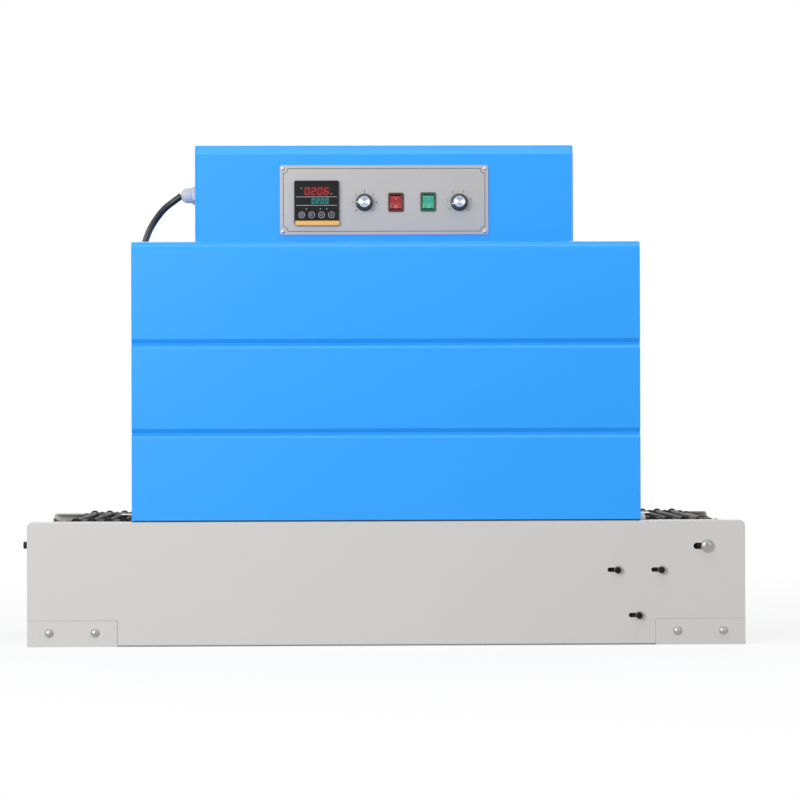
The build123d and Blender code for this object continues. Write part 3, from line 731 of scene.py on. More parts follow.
def socket_head(width, height, across_flats):
    """A knurled cylinder head about z with a hexagon socket sunk into its end."""
    ease, knurl, sides = 0.4 * mm, 0.35 * mm, 48
    radius = np.array([width / 2 - ease, width / 2, width / 2, width / 2 - ease])
    level = np.array([0, ease, height - ease, height])
    outside = rings(radius, level, sides, [0, knurl, knurl, 0], sides // 2)
    angle = np.linspace(0, tau, sides, endpoint=False)
    rim = polar(angle, hexagon(across_flats, angle), height)
    floor = rim - (0, 0, 0.6 * height)
    return skin(np.concatenate([outside, [rim, floor]]))


def cross_head(width, height):
    """A low domed head about z whose crown sinks along two crossing slots: where min(|x|, |y|)
    is under half a slot's width and max(|x|, |y|) under half its length."""
    radius = np.concatenate([[width / 2, width / 2], width / 2 * np.linspace(0.97, 0.02, 16)])
    share = radius / (width / 2)
    level = height * (0.45 + 0.55 * np.sqrt(np.clip(1 - share**2, 0, 1)))
    level[0] = 0.0
    points = rings(radius, level, 64)
    x, y = points[2:, :, 0], points[2:, :, 1]
    nearer, farther = np.minimum(abs(x), abs(y)), np.maximum(abs(x), abs(y))
    slot = (nearer < 0.07 * width) & (farther < 0.27 * width)
    points[2:, :, 2] -= np.where(slot, 0.4 * height, 0)
    return skin(points)


def hex_nut(across_flats, height, bore=0.0):
    """A hexagon about z with chamfered corners: each ring's reach is the smaller of the
    hexagon's and a circle's."""
    sides = 72
    angle = np.linspace(0, tau, sides, endpoint=False)
    points = []
    for share, circle in ((0.0, 0.98), (0.12, 1.16), (0.88, 1.16), (1.0, 0.98)):
        reach = np.minimum(hexagon(across_flats, angle), circle * across_flats / 2)
        points.append(polar(angle, reach, share * height))
    if not bore:
        return skin(np.array(points))
    hole = rings([bore / 2, bore / 2], [height, 0], sides)
    return skin(np.concatenate([points, hole]), loop=True)


def threaded_rod(width, length, pitch):
    """A rod about z whose radius swings by a sixth of the pitch with every turn of thread."""
    rows_per_turn = 4
    level = np.linspace(0, length, int(length / pitch * rows_per_turn))[:, None]
    angle = np.linspace(0, tau, 16, endpoint=False)
    wave = np.cos(tau * level / pitch - angle)
    return skin(polar(angle, width / 2 - pitch / 6 + wave * pitch / 6, level))


class TUNNEL_OT_base(bpy.types.Operator):
    """Finishes the side panels, feet and pan, and adds their screws and a dark strip of painted
    shade under each panel's lower edge
    """

    bl_idname = "tunnel.base"
    bl_label = "Base"

    def execute(self, context):
        settings = context.scene.tunnel_base
        paint = powder_coat("base powder coat", settings.paint, 0.4)
        dress(paint, "front_side_panel", "rear_side_panel", ease=0.5 * mm)
        dress(paint, "left_foot", "right_foot", "bottom_pan", ease=0.5 * mm)
        zinc = machined("zinc plated steel", (0.36, 0.36, 0.35), 0.2)
        black = machined("blackened steel", (0.022, 0.022, 0.024), 0.3)
        face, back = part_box("front_side_panel")[0][1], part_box("rear_side_panel")[1][1]
        left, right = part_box("left_foot"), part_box("right_foot")
        height, offsets = 22 * mm, (34.5 * mm, 106.5 * mm)
        spots = [low[0] + offset for low, high in (left, right) for offset in offsets]
        head = domed_head(settings.foot_screw, 3.6 * mm)
        heads = head.placed([(x, face, height) for x in spots], *FRONT)
        heads += head.placed([(-x, back, height) for x in spots], *REAR)
        build("foot_screws", heads, zinc, crease=60)

        slots = np.array([(365, 118), (434, 118), (398.5, 46.5)]) * mm
        rows = np.array([(x, face, z) for x, z in slots])
        shim_height, shim_share = 1.6 * mm, 0.64
        off_centre = np.array([1.2 * mm, shim_height, 0.6 * mm])
        heads = socket_head(settings.motor_screw, height=6.2 * mm, across_flats=5.4 * mm)
        build("motor_screws", heads.placed(rows - off_centre, *FRONT), black)
        shims = washer(settings.motor_screw * shim_share, 3 * mm, shim_height).placed(rows, *FRONT)

        shaft = middle("drive_shaft")
        flat, spring, bore = 1.6 * mm, 1.4 * mm, 4 * mm
        off_centre = np.array([-1.2, 0.8, 0]) * mm
        bolt = washer(10.4 * mm, bore, flat)
        bolt += washer(8.2 * mm, bore, spring).placed(off_centre + (0, 0, flat))
        pan = cross_head(settings.shaft_screw, 4.6 * mm)
        bolt += pan.placed(off_centre + (0, 0, flat + spring))
        for y, side in ((face, FRONT), (back, REAR)):
            shims += bolt.placed((shaft[0], y, shaft[2]), *side)
        build("shaft_screws", shims, zinc)

        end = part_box("front_side_panel")[0][0]
        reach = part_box("bearing_blocks")[0][0] - end + 12 * mm
        width, shim_height = 6 * mm, 0.9 * mm
        rows = [(end, y, shaft[2] + 4.7 * mm) for y in (-265 * mm, 265 * mm)]
        nut = hex_nut(9.8 * mm, 5.4 * mm).placed((0, 0, shim_height))
        nut += washer(width, 2 * mm, shim_height)
        screws = nut.placed(rows, *LEFT)
        screws += threaded_rod(width, reach, pitch=1 * mm).placed(rows, *RIGHT)
        build("tension_screws", screws, black)

        # Painted shade: a dark rubber strip under the lower edge of each side panel stands in for
        # the shadow gap between the panel and the floor.
        shade_gap_rubber = moulded("dark rubber for painted shade", (0.24, 0.24, 0.235), 0.6, shine=0.2)
        start = left[1][0] + 0.5 * mm
        strip = block((start, -2.3 * mm, 0), (-start, 0, 2.4 * mm), 0.3 * mm)
        strips = strip.placed((0, face + 2 * mm, 0)) + strip.placed((0, back + 0.3 * mm, 0))
        build("shade_gap_strips", strips, shade_gap_rubber)
        return {"FINISHED"}


# Conveyor


def pitch_radius(pitch, teeth):
    """The radius of the circle on which the pins lie round a sprocket."""
    return pitch / 2 / math.sin(math.pi / teeth)


def chain_pins(settings):
    """Centres of the chain's pins as (x, z): along the top run, round the drive sprocket by
    angle pi way / half turn, back along the lower run and round the idler sprocket."""
    idler, drive = middle("idler_shaft"), middle("drive_shaft")
    run = drive[0] - idler[0]
    half = settings.pitch * settings.teeth / 2
    count = round(2 * (run + half) / settings.pitch)
    radius = pitch_radius(settings.pitch, settings.teeth)
    way = np.arange(count) * settings.pitch
    first = math.pi / 2 - math.pi * (way - run) / half
    second = -math.pi / 2 - math.pi * (way - 2 * run - half) / half
    stretch = [way < run, way < run + half, way < 2 * run + half]
    x = np.select(
        stretch,
        [idler[0] + way, drive[0] + radius * np.cos(first), drive[0] + run + half - way],
        idler[0] + radius * np.cos(second),
    )
    z = np.select(stretch, [radius, radius * np.sin(first), -radius], radius * np.sin(second))
    return np.stack([x, drive[2] + z], axis=1)


def link_outline(pitch, radius, waist):
    """A link plate's outline: an arc of that radius round each pin and a narrower waist."""
    turn = np.linspace(-0.62, 0.62, 8) * math.pi
    arc = np.stack([pitch / 2 + radius * np.cos(turn), radius * np.sin(turn)], axis=1)
    return np.concatenate([arc, [(0, waist)], -arc, [(0, -waist)]])


def drive_pins(settings, small_at, small_teeth):
    """Centres of the drive chain's pins as (x, z): along the upper run from the small sprocket to
    the large one, round that, back along the lower run and round the small one."""
    large_at = middle("drive_shaft")[[0, 2]]
    gap = large_at - small_at
    span = math.hypot(gap[0], gap[1])
    small, large = (pitch_radius(settings.pitch, n) for n in (small_teeth, settings.teeth))
    tilt = math.atan2(gap[1], gap[0])
    lean = math.asin((large - small) / span)
    run = math.sqrt(span**2 - (large - small) ** 2)
    small_arc, large_arc = small * (math.pi - 2 * lean), large * (math.pi + 2 * lean)
    total = 2 * run + (small_arc + large_arc)
    count = int(total / settings.pitch / 2) * 2
    way = np.arange(count) * total / count
    upper, lower = tilt + math.pi / 2 + lean, tilt - math.pi / 2 - lean

    def about(centre, radius, angle):
        return centre + radius * np.stack([np.cos(angle), np.sin(angle)], axis=-1)

    def between(start, end, share):
        return start + share[:, None] * (end - start)

    after, last = way - run, way - 2 * run - large_arc
    back = (after - large_arc) / run
    stretch = [way < run, after < large_arc, back < 1]
    return np.select(
        [test[:, None] for test in stretch],
        [
            between(about(small_at, small, upper), about(large_at, large, upper), way / run),
            about(large_at, large, upper - after / large),
            between(about(large_at, large, lower), about(small_at, small, lower), back),
        ],
        about(small_at, small, lower - last / small),
    )


def chain_shape(pins, plane, pitch, levels, thickness, roller):
    """Plates, rollers and pins of one chain in the plane y = plane. levels are the distances
    of the inner and the outer plates' inner faces from that plane."""
    plate_radius = 5.9 * mm
    ahead = np.roll(pins, -1, axis=0)
    heading = unit(ahead - pins)
    centre = (pins + ahead) / 2
    outline = link_outline(pitch, plate_radius, 0.72 * plate_radius)
    plate = slab(outline, thickness, 0.18 * mm)
    across = np.stack([heading[:, 0], 0 * heading[:, 0], heading[:, 1]], axis=1)
    along = np.stack([-heading[:, 1], 0 * heading[:, 0], heading[:, 0]], axis=1)
    parts = []
    for parity, level in enumerate(levels):
        chosen = slice(parity, None, 2)
        for side in (-1, 1):
            rows = np.insert(centre[chosen], 1, plane + side * level, axis=1)
            parts.append(plate.placed(rows, across[chosen] * -side, along[chosen]))
    rows = np.insert(pins, 1, plane, axis=1)
    drum = turned([(roller / 2, -levels[0]), (roller / 2, levels[0])], 12)
    reach = levels[1] + thickness + 0.5 * mm
    pin = eased_rod(3.8 * mm, 2 * reach, 0.3 * mm, 10).placed((0, 0, -reach))
    return joined([*parts, drum.placed(rows, *FRONT), pin.placed(rows, *FRONT)])


def sprocket_shape(pitch, teeth, roller, width, bore, hub, hub_length):
    """A sprocket about z: seats of the roller's radius, tooth flanks that rise steeply from them
    and level off towards the tips, chamfered tips, and a hub on one side with its bore."""
    tooth, chamfer = 3.3 * mm, 1.2 * mm
    steps = teeth * 16
    angle = np.arange(steps) / steps * tau
    radius = pitch_radius(pitch, teeth)
    phase = (angle * teeth / tau) % 1.0
    off = np.minimum(phase, 1 - phase) * tau / teeth * radius
    seat = radius - np.sqrt(np.clip((roller / 2) ** 2 - off**2, 0, None))
    start = roller / 2.4
    climb = np.clip((off - start) / (pitch / 2 - start), 0, 1) ** 0.7
    reach = np.where(off < roller / 2.2, seat, radius + tooth * climb)
    trimmed = np.minimum(reach, radius + chamfer)
    face, far = width / 2, width / 2 + hub_length
    sections = [
        (trimmed, -face), (reach, -width / 4), (reach, width / 4), (trimmed, face),
        (hub / 2, face), (hub / 2, far), (bore / 2, far), (bore / 2, -face),
    ]
    return skin(np.array([polar(angle, size, level) for size, level in sections]), loop=True)


class TUNNEL_OT_conveyor(bpy.types.Operator):
    """Makes the roller chains, rods, end discs, sprockets and drive chain"""

    bl_idname = "tunnel.conveyor"
    bl_label = "Conveyor"

    def execute(self, context):
        settings = context.scene.tunnel_conveyor
        oiled = oiled_steel("oiled chain steel", settings.steel)
        bright = machined("bright steel", (0.62, 0.62, 0.61), 0.22)
        dark = moulded("end disc plastic", (0.008, 0.008, 0.009), 0.36, shine=0.3)
        sleeve = sleeve_finish("rod sleeve", settings.sleeve)
        pins = chain_pins(settings)
        roller = 8.5 * mm
        levels, thickness = (3.9 * mm, 5.45 * mm), 1.5 * mm
        for name in ("front_chain", "rear_chain"):
            plane = middle(name)[1]
            shape = chain_shape(pins, plane, settings.pitch, levels, thickness, roller)
            build(f"{name}_links", shape, oiled, replaces=[name])

        def on_rods(y):
            return np.insert(pins[::2], 1, y, axis=1)

        low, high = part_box("conveyor_rods")
        sleeves = eased_rod(settings.rod_width, high[1] - low[1], 0.6 * mm, 18)
        sleeves = sleeves.placed(on_rods(low[1]), (1, 0, 0), (0, 0, -1))
        build("rod_sleeves", sleeves, sleeve, replaces=["conveyor_rods"])
        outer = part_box("rod_end_discs")[1][1]
        depth, half, bore, sunk = 5 * mm, settings.disc_width / 2, 2.6 * mm, 1.3 * mm
        disc = turned(
            [
                (bore, 0),
                (half - 0.5 * mm, 0),
                (half, 0.6 * mm),
                (half, depth - 1.2 * mm),
                (half - 1.2 * mm, depth),
                (half - 2.4 * mm, depth),
                (half - 3 * mm, depth - sunk),
                (bore, depth - sunk),
            ],
            20,
            bored=True,
        )
        discs = disc.placed(on_rods(depth - outer), *FRONT)
        discs += disc.placed(on_rods(outer - depth), *REAR)
        build("rod_discs", discs, dark, replaces=["rod_end_discs"])
        reach, tip, core = outer - 0.4 * mm, 2.1 * mm, 2.5 * mm
        taper = 0.5 * mm
        profile = [(tip, -reach), (core, taper - reach), (core, reach - taper), (tip, reach)]
        cores = turned(profile, 10).placed(on_rods(0.0), *FRONT)
        build("rod_cores", cores, bright)

        motor_axle, small_teeth = np.array([399, 91]) * mm, 11
        drive, idler = middle("drive_shaft"), middle("idler_shaft")
        plane = middle("drive_chain")[1]
        wide = dict(width=7 * mm, bore=20 * mm, hub=44 * mm, hub_length=18 * mm)
        narrow = dict(width=4.6 * mm, bore=20 * mm, hub=34 * mm, hub_length=2 * mm)
        motor = dict(width=4.6 * mm, bore=12 * mm, hub=26 * mm, hub_length=4 * mm)
        wheel = sprocket_shape(settings.pitch, settings.teeth, roller, **wide)
        wheels = [
            wheel.placed((centre[0], middle(name)[1], centre[2]), *side)
            for centre in (drive, idler)
            for name, side in (("front_chain", REAR), ("rear_chain", FRONT))
        ]
        large = sprocket_shape(settings.pitch, settings.teeth, roller, **narrow)
        small = sprocket_shape(settings.pitch, small_teeth, roller, **motor)
        wheels.append(large.placed((drive[0], plane, drive[2]), *FRONT))
        wheels.append(small.placed((motor_axle[0], plane, motor_axle[1]), *REAR))
        build("sprocket_wheels", joined(wheels), oiled, replaces=["sprockets"])
        places = drive_pins(settings, motor_axle, small_teeth)
        levels, thickness = (2.45 * mm, 3.45 * mm), 0.95 * mm
        shape = chain_shape(places, plane, settings.pitch, levels, thickness, roller)
        build("drive_chain_links", shape, oiled, replaces=["drive_chain"])

        zinc = zinc_sheet("chain rail zinc", context.scene.tunnel_chamber.zinc)
        dress(zinc, "chain_rails", "chain_guards", ease=0.25 * mm)
        shaft_steel = oiled_steel("blackened shaft steel", (0.012, 0.012, 0.012))
        dress(shaft_steel, "drive_shaft", "idler_shaft")
        low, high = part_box("chain_guards")
        mouth, foot, top = 400.3 * mm, 196.3 * mm, high[2]
        outline = [(mouth, foot), (mouth + 11 * mm, foot), (mouth + 9 * mm, top), (mouth, top)]
        lip = slab(outline, 1.2 * mm)
        lips = lip.placed((0, low[1] - 0.1 * mm, 0), *FRONT)
        lips += lip.placed((0, high[1] + 1.3 * mm, 0), *FRONT)
        build("guard_lips", lips, zinc)
        return {"FINISHED"}


# Drive and bearings


class TUNNEL_OT_drive(bpy.types.Operator):
    """Finishes the gear motor and bearing blocks, and adds cooling ribs and cap screws"""

    bl_idname = "tunnel.drive"
    bl_label = "Drive"

    def execute(self, context):
        # The gear motor and bearing blocks are near-black: black paint, kept this dark as painted
        # shade so that the side panel's slots in front of them read as dark.
        alloy = cast_alloy("near-black die-cast alloy with painted shade", (0.01, 0.01, 0.011))
        dress(alloy, "gear_motor", "bearing_blocks", ease=0.6 * mm)
        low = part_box("gear_motor")[0]
        can_y, can_z = low[1] + 31 * mm, 61 * mm
        first, last, rib_pitch = low[0] + 26 * mm, low[0] + 96 * mm, 7 * mm
        rib = washer(outer=32.4 * mm, inner=29.5 * mm, thickness=2.4 * mm, sides=40, ease=0.5 * mm)
        ribs = rib.placed([(x, can_y, can_z) for x in np.arange(first, last, rib_pitch)], *RIGHT)
        build("motor_ribs", ribs, alloy)
        circle = 22 * mm
        rows = [
            (low[0], can_y + circle * math.cos(t), can_z + circle * math.sin(t))
            for t in np.radians([45, 135, 225, 315])
        ]
        steel = machined("cap screw steel", (0.5, 0.5, 0.5), 0.25)
        caps = cross_head(7 * mm, 2.6 * mm).placed(rows, *LEFT)
        build("motor_cap_screws", caps, steel)
        return {"FINISHED"}


# Chamber

# Heights of the two pressed grooves
GROOVES = (335 * mm, 476 * mm)


class TUNNEL_OT_chamber(bpy.types.Operator):
    """Makes the chamber's wrap, finishes its end walls and lining, and adds screws and dark strips
    of painted shade along the wrap's foot
    """

    bl_idname = "tunnel.chamber"
    bl_label = "Chamber"

    def execute(self, context):
        settings = context.scene.tunnel_chamber
        paint = powder_coat("chamber powder coat", settings.paint)
        dress(paint, "left_end_wall", "right_end_wall", ease=0.4 * mm)
        low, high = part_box("chamber_shell")
        front, rear, foot, roof = low[1], high[1], low[2], high[2]
        above, below, depth, bend = 7 * mm, 8.2 * mm, 6.2 * mm, 17 * mm
        sheet, beyond_walls = 2 * mm, 0.8 * mm
        corners, radii = [(front, foot)], []
        for height in GROOVES:
            groove = [(front, height - below), (front + depth, height), (front, height + above)]
            corners += groove
            radii += [2.4 * mm, 1.6 * mm, 1.2 * mm]
        corners.append((front, roof))
        radii.append(bend)
        mirrored = [(front + rear - y, z) for y, z in reversed(corners)]
        path = eased_path(corners + mirrored, radii + radii[::-1])
        wrap = bent_sheet(path, sheet, high[0] - low[0] + beyond_walls, 0.5 * mm)
        wrap = wrap.placed((0, 0, 0), *RIGHT)
        build("chamber_wrap", wrap, paint, replaces=["chamber_shell"], crease=30)
        # Painted shade: dark blue strips along the front and rear of the wrap's foot stand in for
        # the shadow line where the chamber meets the base.
        seal_and_shade_strip = moulded("painted shade strip", (0.02, 0.05, 0.1), 0.5, shine=0.2)
        width, proud = 2.4 * mm, 0.35 * mm
        strip = block((low[0] + 1 * mm, 0, 0), (high[0] - 1 * mm, width, 2 * mm), 0.3 * mm)
        strips = strip.placed((0, front - proud, foot))
        strips += strip.placed((0, rear + proud - width, foot))
        build("foot_shade_strips", strips, seal_and_shade_strip)
        zinc = zinc_sheet("lining zinc", settings.zinc)
        dress(zinc, "tunnel_lining", "curtain_bars", ease=0.3 * mm)
        steel = machined("chamber screw steel", (0.45, 0.45, 0.45), 0.24)
        head = cross_head(9 * mm, 1.8 * mm)
        heights = np.array([230, 330, 420, 520, 610]) * mm
        rows = [(y, z) for z in heights for y in (-258 * mm, 258 * mm)]
        rows += [(y, heights[-1]) for y in (-120 * mm, 0, 120 * mm)]
        left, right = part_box("left_end_wall")[0][0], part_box("right_end_wall")[1][0]
        heads = head.placed([(left, y, z) for y, z in rows], *LEFT)
        heads += head.placed([(right, y, z) for y, z in rows], *RIGHT)
        build("end_wall_screws", heads, steel)
        return {"FINISHED"}


# Curtains


def curtain_strip(phase, curl, side, start, width, drop):
    """One hanging strip from its upper corner start. At share u of its width and v of its drop
    it leans, rolls and cups by shares of the curl that its phase sets."""
    thickness = 0.8 * mm
    u = np.linspace(0, 1, 12)
    v = np.linspace(0, 1, 26)[:, None]
    lean = curl * math.sin(phase) * v**2
    roll = curl * 0.5 * math.cos(2.3 * phase) * v * (2 * u - 1)
    cup = curl * 0.45 * v * (1 - (2 * u - 1) ** 2) * math.sin(phase + 1)
    x = side * (lean + roll + cup) + start[0]
    front = np.stack(np.broadcast_arrays(x, start[1] + width * u, start[2] - drop * v), -1)
    back = front - np.array([side * thickness, 0, 0])
    ring = np.concatenate([front, back[:, ::-1]], axis=1)
    return skin(ring[:, ::-1] if side > 0 else ring)


class TUNNEL_OT_curtains(bpy.types.Operator):
    """Hangs the coated strips in both mouths, each with its own slight curl, and their clamps"""

    bl_idname = "tunnel.curtains"
    bl_label = "Curtains"

    def execute(self, context):
        settings = context.scene.tunnel_chamber
        cloth = coated_cloth("coated curtain cloth", settings.cloth)
        strips, gap = 8, 2 * mm
        clamps, heads = [], []
        for name, side, axes in (("left_curtain", -1, LEFT), ("right_curtain", 1, RIGHT)):
            low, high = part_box(name)
            edge = low[0] if side < 0 else high[0]
            span, drop = high[1] - low[1], high[2] - low[2]
            pitch = (span + gap) / strips
            width = pitch - gap
            parts = []
            for strip in range(strips):
                phase = 1.7 * strip + (0.9 if side > 0 else 0)
                start = (edge, low[1] + strip * pitch, high[2])
                parts.append(curtain_strip(phase, settings.curl, side, start, width, drop))
            shape = joined(parts)
            piece = build(f"{name}_strips", shape, cloth, replaces=[name])
            mesh = piece.data
            corner = np.zeros(len(mesh.loops), int)
            mesh.loops.foreach_get("vertex_index", corner)
            chart = mesh.uv_layers.new(name="cloth")
            chart.data.foreach_set("uv", shape.points[corner][:, 1:].ravel())
            strips * width * drop
            height, sheet = high[2] - 8 * mm, 1.5 * mm
            clamp = slab(rounded(span + 2 * mm, 14 * mm, 1 * mm, 2), sheet, 0.2 * mm)
            clamps.append(clamp.placed((edge + side * 0.1 * mm, 0, height), *axes))
            rows = [(edge + side * 1.6 * mm, y, height) for y in np.linspace(-0.18, 0.18, 5)]
            heads.append(cross_head(7 * mm, 2.4 * mm).placed(rows, *axes))
        zinc = zinc_sheet("clamp zinc", settings.zinc)
        steel = machined("clamp screw steel", (0.6, 0.6, 0.6), 0.24)
        build("curtain_clamps", joined(clamps), zinc)
        build("clamp_screws", joined(heads), steel)
        return {"FINISHED"}


# Control box


def louvre_hood(length, height, proud):
    """A pressed hood over one vent slot: at share s of its height it stands proud by
    proud sin(pi s / 2), and it falls away over the last tenth of each half of its length."""
    thickness = 0.9 * mm
    u = np.linspace(-1, 1, 25)
    share = np.linspace(0, 1, 8)[:, None]
    fall = np.clip((1 - abs(u)) / 0.1, 0, 1) ** 0.5
    z = proud * np.sin(math.pi / 2 * share) * fall
    outside = np.stack(np.broadcast_arrays(u * length / 2, height / 2 - share * height, z), -1)
    inside = outside - np.array([0, 0, thickness])
    return skin(np.concatenate([outside, inside[:, ::-1]], axis=1)[::-1])


def case_shape():
    """The box's case: front and top as one bent sheet, two ends with eased rims, a floor, and
    a front with the faceplate's window."""
    low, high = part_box("control_box")
    plate_low, plate_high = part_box("faceplate")
    sheet, lip, side, overlap = 2 * mm, 15.5 * mm, 4 * mm, 1 * mm
    margin_x, margin_z = 22 * mm, 11 * mm
    front, rear, foot, roof = low[1], high[1], low[2], high[2]
    window = [plate_low[0] + margin_x, plate_high[0] - margin_x]
    sill, lintel = plate_low[2] + margin_z, plate_high[2] - margin_z
    inner = high[0] - low[0] - 2 * side + overlap

    def wall(path, width, x, lift=0.0):
        part = bent_sheet(np.array(path), sheet, width, 0.3 * mm)
        return part.placed((x, 0, lift), *RIGHT)

    brow = [(front, roof - lip), (front + 0.75 * lip, roof)]
    bent = eased_path([(front, lintel), *brow, (rear, roof)], [2 * mm, 4 * mm], 5)
    parts = [wall(bent, inner, 0), wall([(front, foot + sheet), (front, sill)], inner, 0)]
    for x, edge in zip(window, (-1, 1)):
        reach = inner / 2 - abs(x)
        parts.append(wall([(front, sill), (front, lintel)], reach, x + edge * reach / 2))
    parts.append(wall([(front, foot), (rear, foot)], inner, 0, sheet))
    outline = [(rear, foot), (rear, roof), *brow[::-1], (front, foot)]
    end = slab(eased_path(outline, [0.5 * mm, 4 * mm, 2 * mm], 5), side, 1.6 * mm, 4)
    parts += [end.placed((x, 0, 0), *RIGHT) for x in (low[0], high[0] - side)]
    return joined(parts)


class TUNNEL_OT_control_box(bpy.types.Operator):
    """Makes the control box's case, finishes its rear cover, and adds vent hoods, screws and a
    dark strip of painted shade round its foot
    """

    bl_idname = "tunnel.control_box"
    bl_label = "Control box"

    def execute(self, context):
        paint = powder_coat("box powder coat", context.scene.tunnel_chamber.paint)
        dress(paint, "box_rear_cover", ease=0.3 * mm)
        build("box_case", case_shape(), paint, replaces=["control_box"], crease=30)
        low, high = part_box("control_box")
        # Painted shade: a dark blue strip round the box's foot stands in for the shadow line where
        # the box meets the chamber roof.
        seal_and_shade_strip = moulded("box painted shade strip", (0.02, 0.05, 0.1), 0.5, shine=0.2)
        rim, height = 0.3 * mm, 1.1 * mm
        start = (low[0] - rim, low[1] - rim, low[2])
        strip = block(start, (high[0] + rim, high[1], low[2] + height))
        build("box_foot_shade_strip", strip, seal_and_shade_strip)
        low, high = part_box("box_rear_cover")
        back, centre = high[1], middle("box_rear_cover")[2] + 1 * mm
        slot_rows, slot_pitch = 6, 15 * mm
        hood = louvre_hood(124 * mm, 9 * mm, 3.6 * mm)
        rows = [
            (x, back, centre + (row - (slot_rows - 1) / 2) * slot_pitch)
            for x in (-100 * mm, 100 * mm)
            for row in range(slot_rows)
        ]
        build("vent_hoods", hood.placed(rows, *REAR), paint)
        steel = machined("box screw steel", (0.6, 0.6, 0.6), 0.24)
        aside, inwards = 12 * mm, 10 * mm
        rows = [
            (x, back, z)
            for x in (low[0] + aside, -5 * mm, high[0] - aside)
            for z in (low[2] + inwards, high[2] - inwards)
        ]
        screws = cross_head(8 * mm, 2.8 * mm).placed(rows, *REAR)
        build("cover_screws", screws, steel)
        return {"FINISHED"}


# Faceplate


def notched(width, height, notch):
    """A rectangle's outline whose corners are cut back by quarter circles round the corners."""
    turn = np.linspace(0, math.pi / 2, 9)
    arc = notch * np.stack([np.cos(turn), np.sin(turn)], axis=1)
    corner = np.array([width, height]) / 2
    sides = ((1, 1), (-1, 1), (-1, -1), (1, -1))
    cuts = (arc[:, ::-1], arc, arc[:, ::-1], arc)
    return np.concatenate([(corner - cut) * side for cut, side in zip(cuts, sides)])


# Each dial's marks: the angle in degrees, counterclockwise from the right, and its figure
SCALES = {
    "left_knob": [
        (225, "0"), (180, "1"), (139, "2"), (90, "3"), (41, "4"), (0, "5"), (-41, "6"), (-90, ""),
    ],
    "right_knob": [(217, "0"), (170, "1"), (120, "2"), (69, "3"), (14, "4"), (-40, "5")],
}


class TUNNEL_OT_faceplate(bpy.types.Operator):
    """Finishes the faceplate and adds its border line, corner screws, dial marks and figures"""

    bl_idname = "tunnel.faceplate"
    bl_label = "Faceplate"

    def execute(self, context):
        settings = context.scene.tunnel_panel
        brushed = brushed_metal("brushed plate", settings.plate, (9, 9, 1400))
        dress(brushed, "faceplate", ease=0.4 * mm)
        low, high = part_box("faceplate")
        face, centre = low[1], middle("faceplate")
        ink = printed("panel ink", (0.02, 0.02, 0.022))
        ink_depth, margins, notch = 0.08 * mm, 10.8 * mm, 7.4 * mm
        border = notched(high[0] - low[0] - margins, high[2] - low[2] - margins, notch)
        line = band(border, 0.9 * mm, ink_depth)
        marks = line.placed((centre[0], face, centre[2]), *FRONT)
        mark_start, mark_end, figure_at = 15.2 * mm, 17.0 * mm, 19.4 * mm
        mark = strokes([(mark_start, 0, mark_end, 0)], 0.55 * mm, ink_depth)
        for name, scale in SCALES.items():
            spot = middle(name)
            at = np.array([spot[0], face, spot[2]])
            for angle, text in scale:
                turn = math.radians(angle)
                heading = np.array([math.cos(turn), 0, math.sin(turn)])
                marks += mark.placed(at, heading, (-heading[2], 0, heading[0]))
                if text:
                    figure = figures(text, settings.figure_height, ink_depth)
                    marks += figure.placed(at + figure_at * heading, *FRONT)
        build("panel_marks", marks, ink, welded=True)
        steel = machined("panel screw steel", (0.5, 0.5, 0.51), 0.18)
        inset_by = 5 * mm
        rows = [
            (x, face, z)
            for x in (low[0] + inset_by, high[0] - inset_by)
            for z in (low[2] + inset_by, high[2] - inset_by)
        ]
        screws = cross_head(6.2 * mm, 2.0 * mm).placed(rows, *FRONT)
        build("panel_screws", screws, steel)
        return {"FINISHED"}


# Temperature controller

# The bars that each digit lights
SEGMENTS = {
    "0": "abcdef", "1": "bc", "2": "abged", "3": "abgcd", "4": "fgbc",
    "5": "afgcd", "6": "afgedc", "7": "abc", "8": "abcdefg", "9": "abcdfg",
}


def display_digits(text, height, pitch, depth):
    """Seven-bar figures, leaning by a tenth: each bar is a six-cornered slab between two of
    the figure's six corner points."""
    half, wide, point = height / 2, height * 0.27, height * 0.065
    shrink, lean = 0.84, 0.1
    ends = {
        "a": (-wide, half, wide, half), "g": (-wide, 0, wide, 0), "d": (-wide, -half, wide, -half),
        "f": (-wide, 0, -wide, half), "b": (wide, 0, wide, half),
        "e": (-wide, -half, -wide, 0), "c": (wide, -half, wide, 0),
    }
    parts = []
    for place, digit in enumerate(text):
        for key in SEGMENTS[digit]:
            x1, y1, x2, y2 = (shrink * value for value in ends[key])
            length = math.hypot(x2 - x1, y2 - y1)
            outline = [
                (point * 0.3, 0), (point, -point), (length - point, -point),
                (length - point * 0.3, 0), (length - point, point), (point, point),
            ]
            across = np.array([x2 - x1, y2 - y1, 0]) / length
            along = np.array([-across[1], across[0], 0])
            part = slab(outline, depth).placed((x1, y1, 0), across, along)
            part.points[:, 0] += lean * part.points[:, 1] + (place - (len(text) - 1) / 2) * pitch
            parts.append(part)
    return joined(parts)


# The strokes of the keys' icons, in millimetres from the middle of each key
ICONS = {
    -23.85: [
        (-1.6, -1.8, -1.6, 1.8),
        (-1.6, 1.8, 1.6, 1.8),
        (1.6, 1.8, 1.6, -1.8),
        (1.6, -1.8, -1.6, -1.8),
    ],
    -7.95: [(-2.2, 0, 2.0, 0), (-2.2, 0, -0.6, 1.6), (-2.2, 0, -0.6, -1.6)],
    7.95: [(-2.2, 1.1, 0, -1.3), (0, -1.3, 2.2, 1.1)],
    23.85: [(-2.2, -1.1, 0, 1.3), (0, 1.3, 2.2, -1.1)],
}


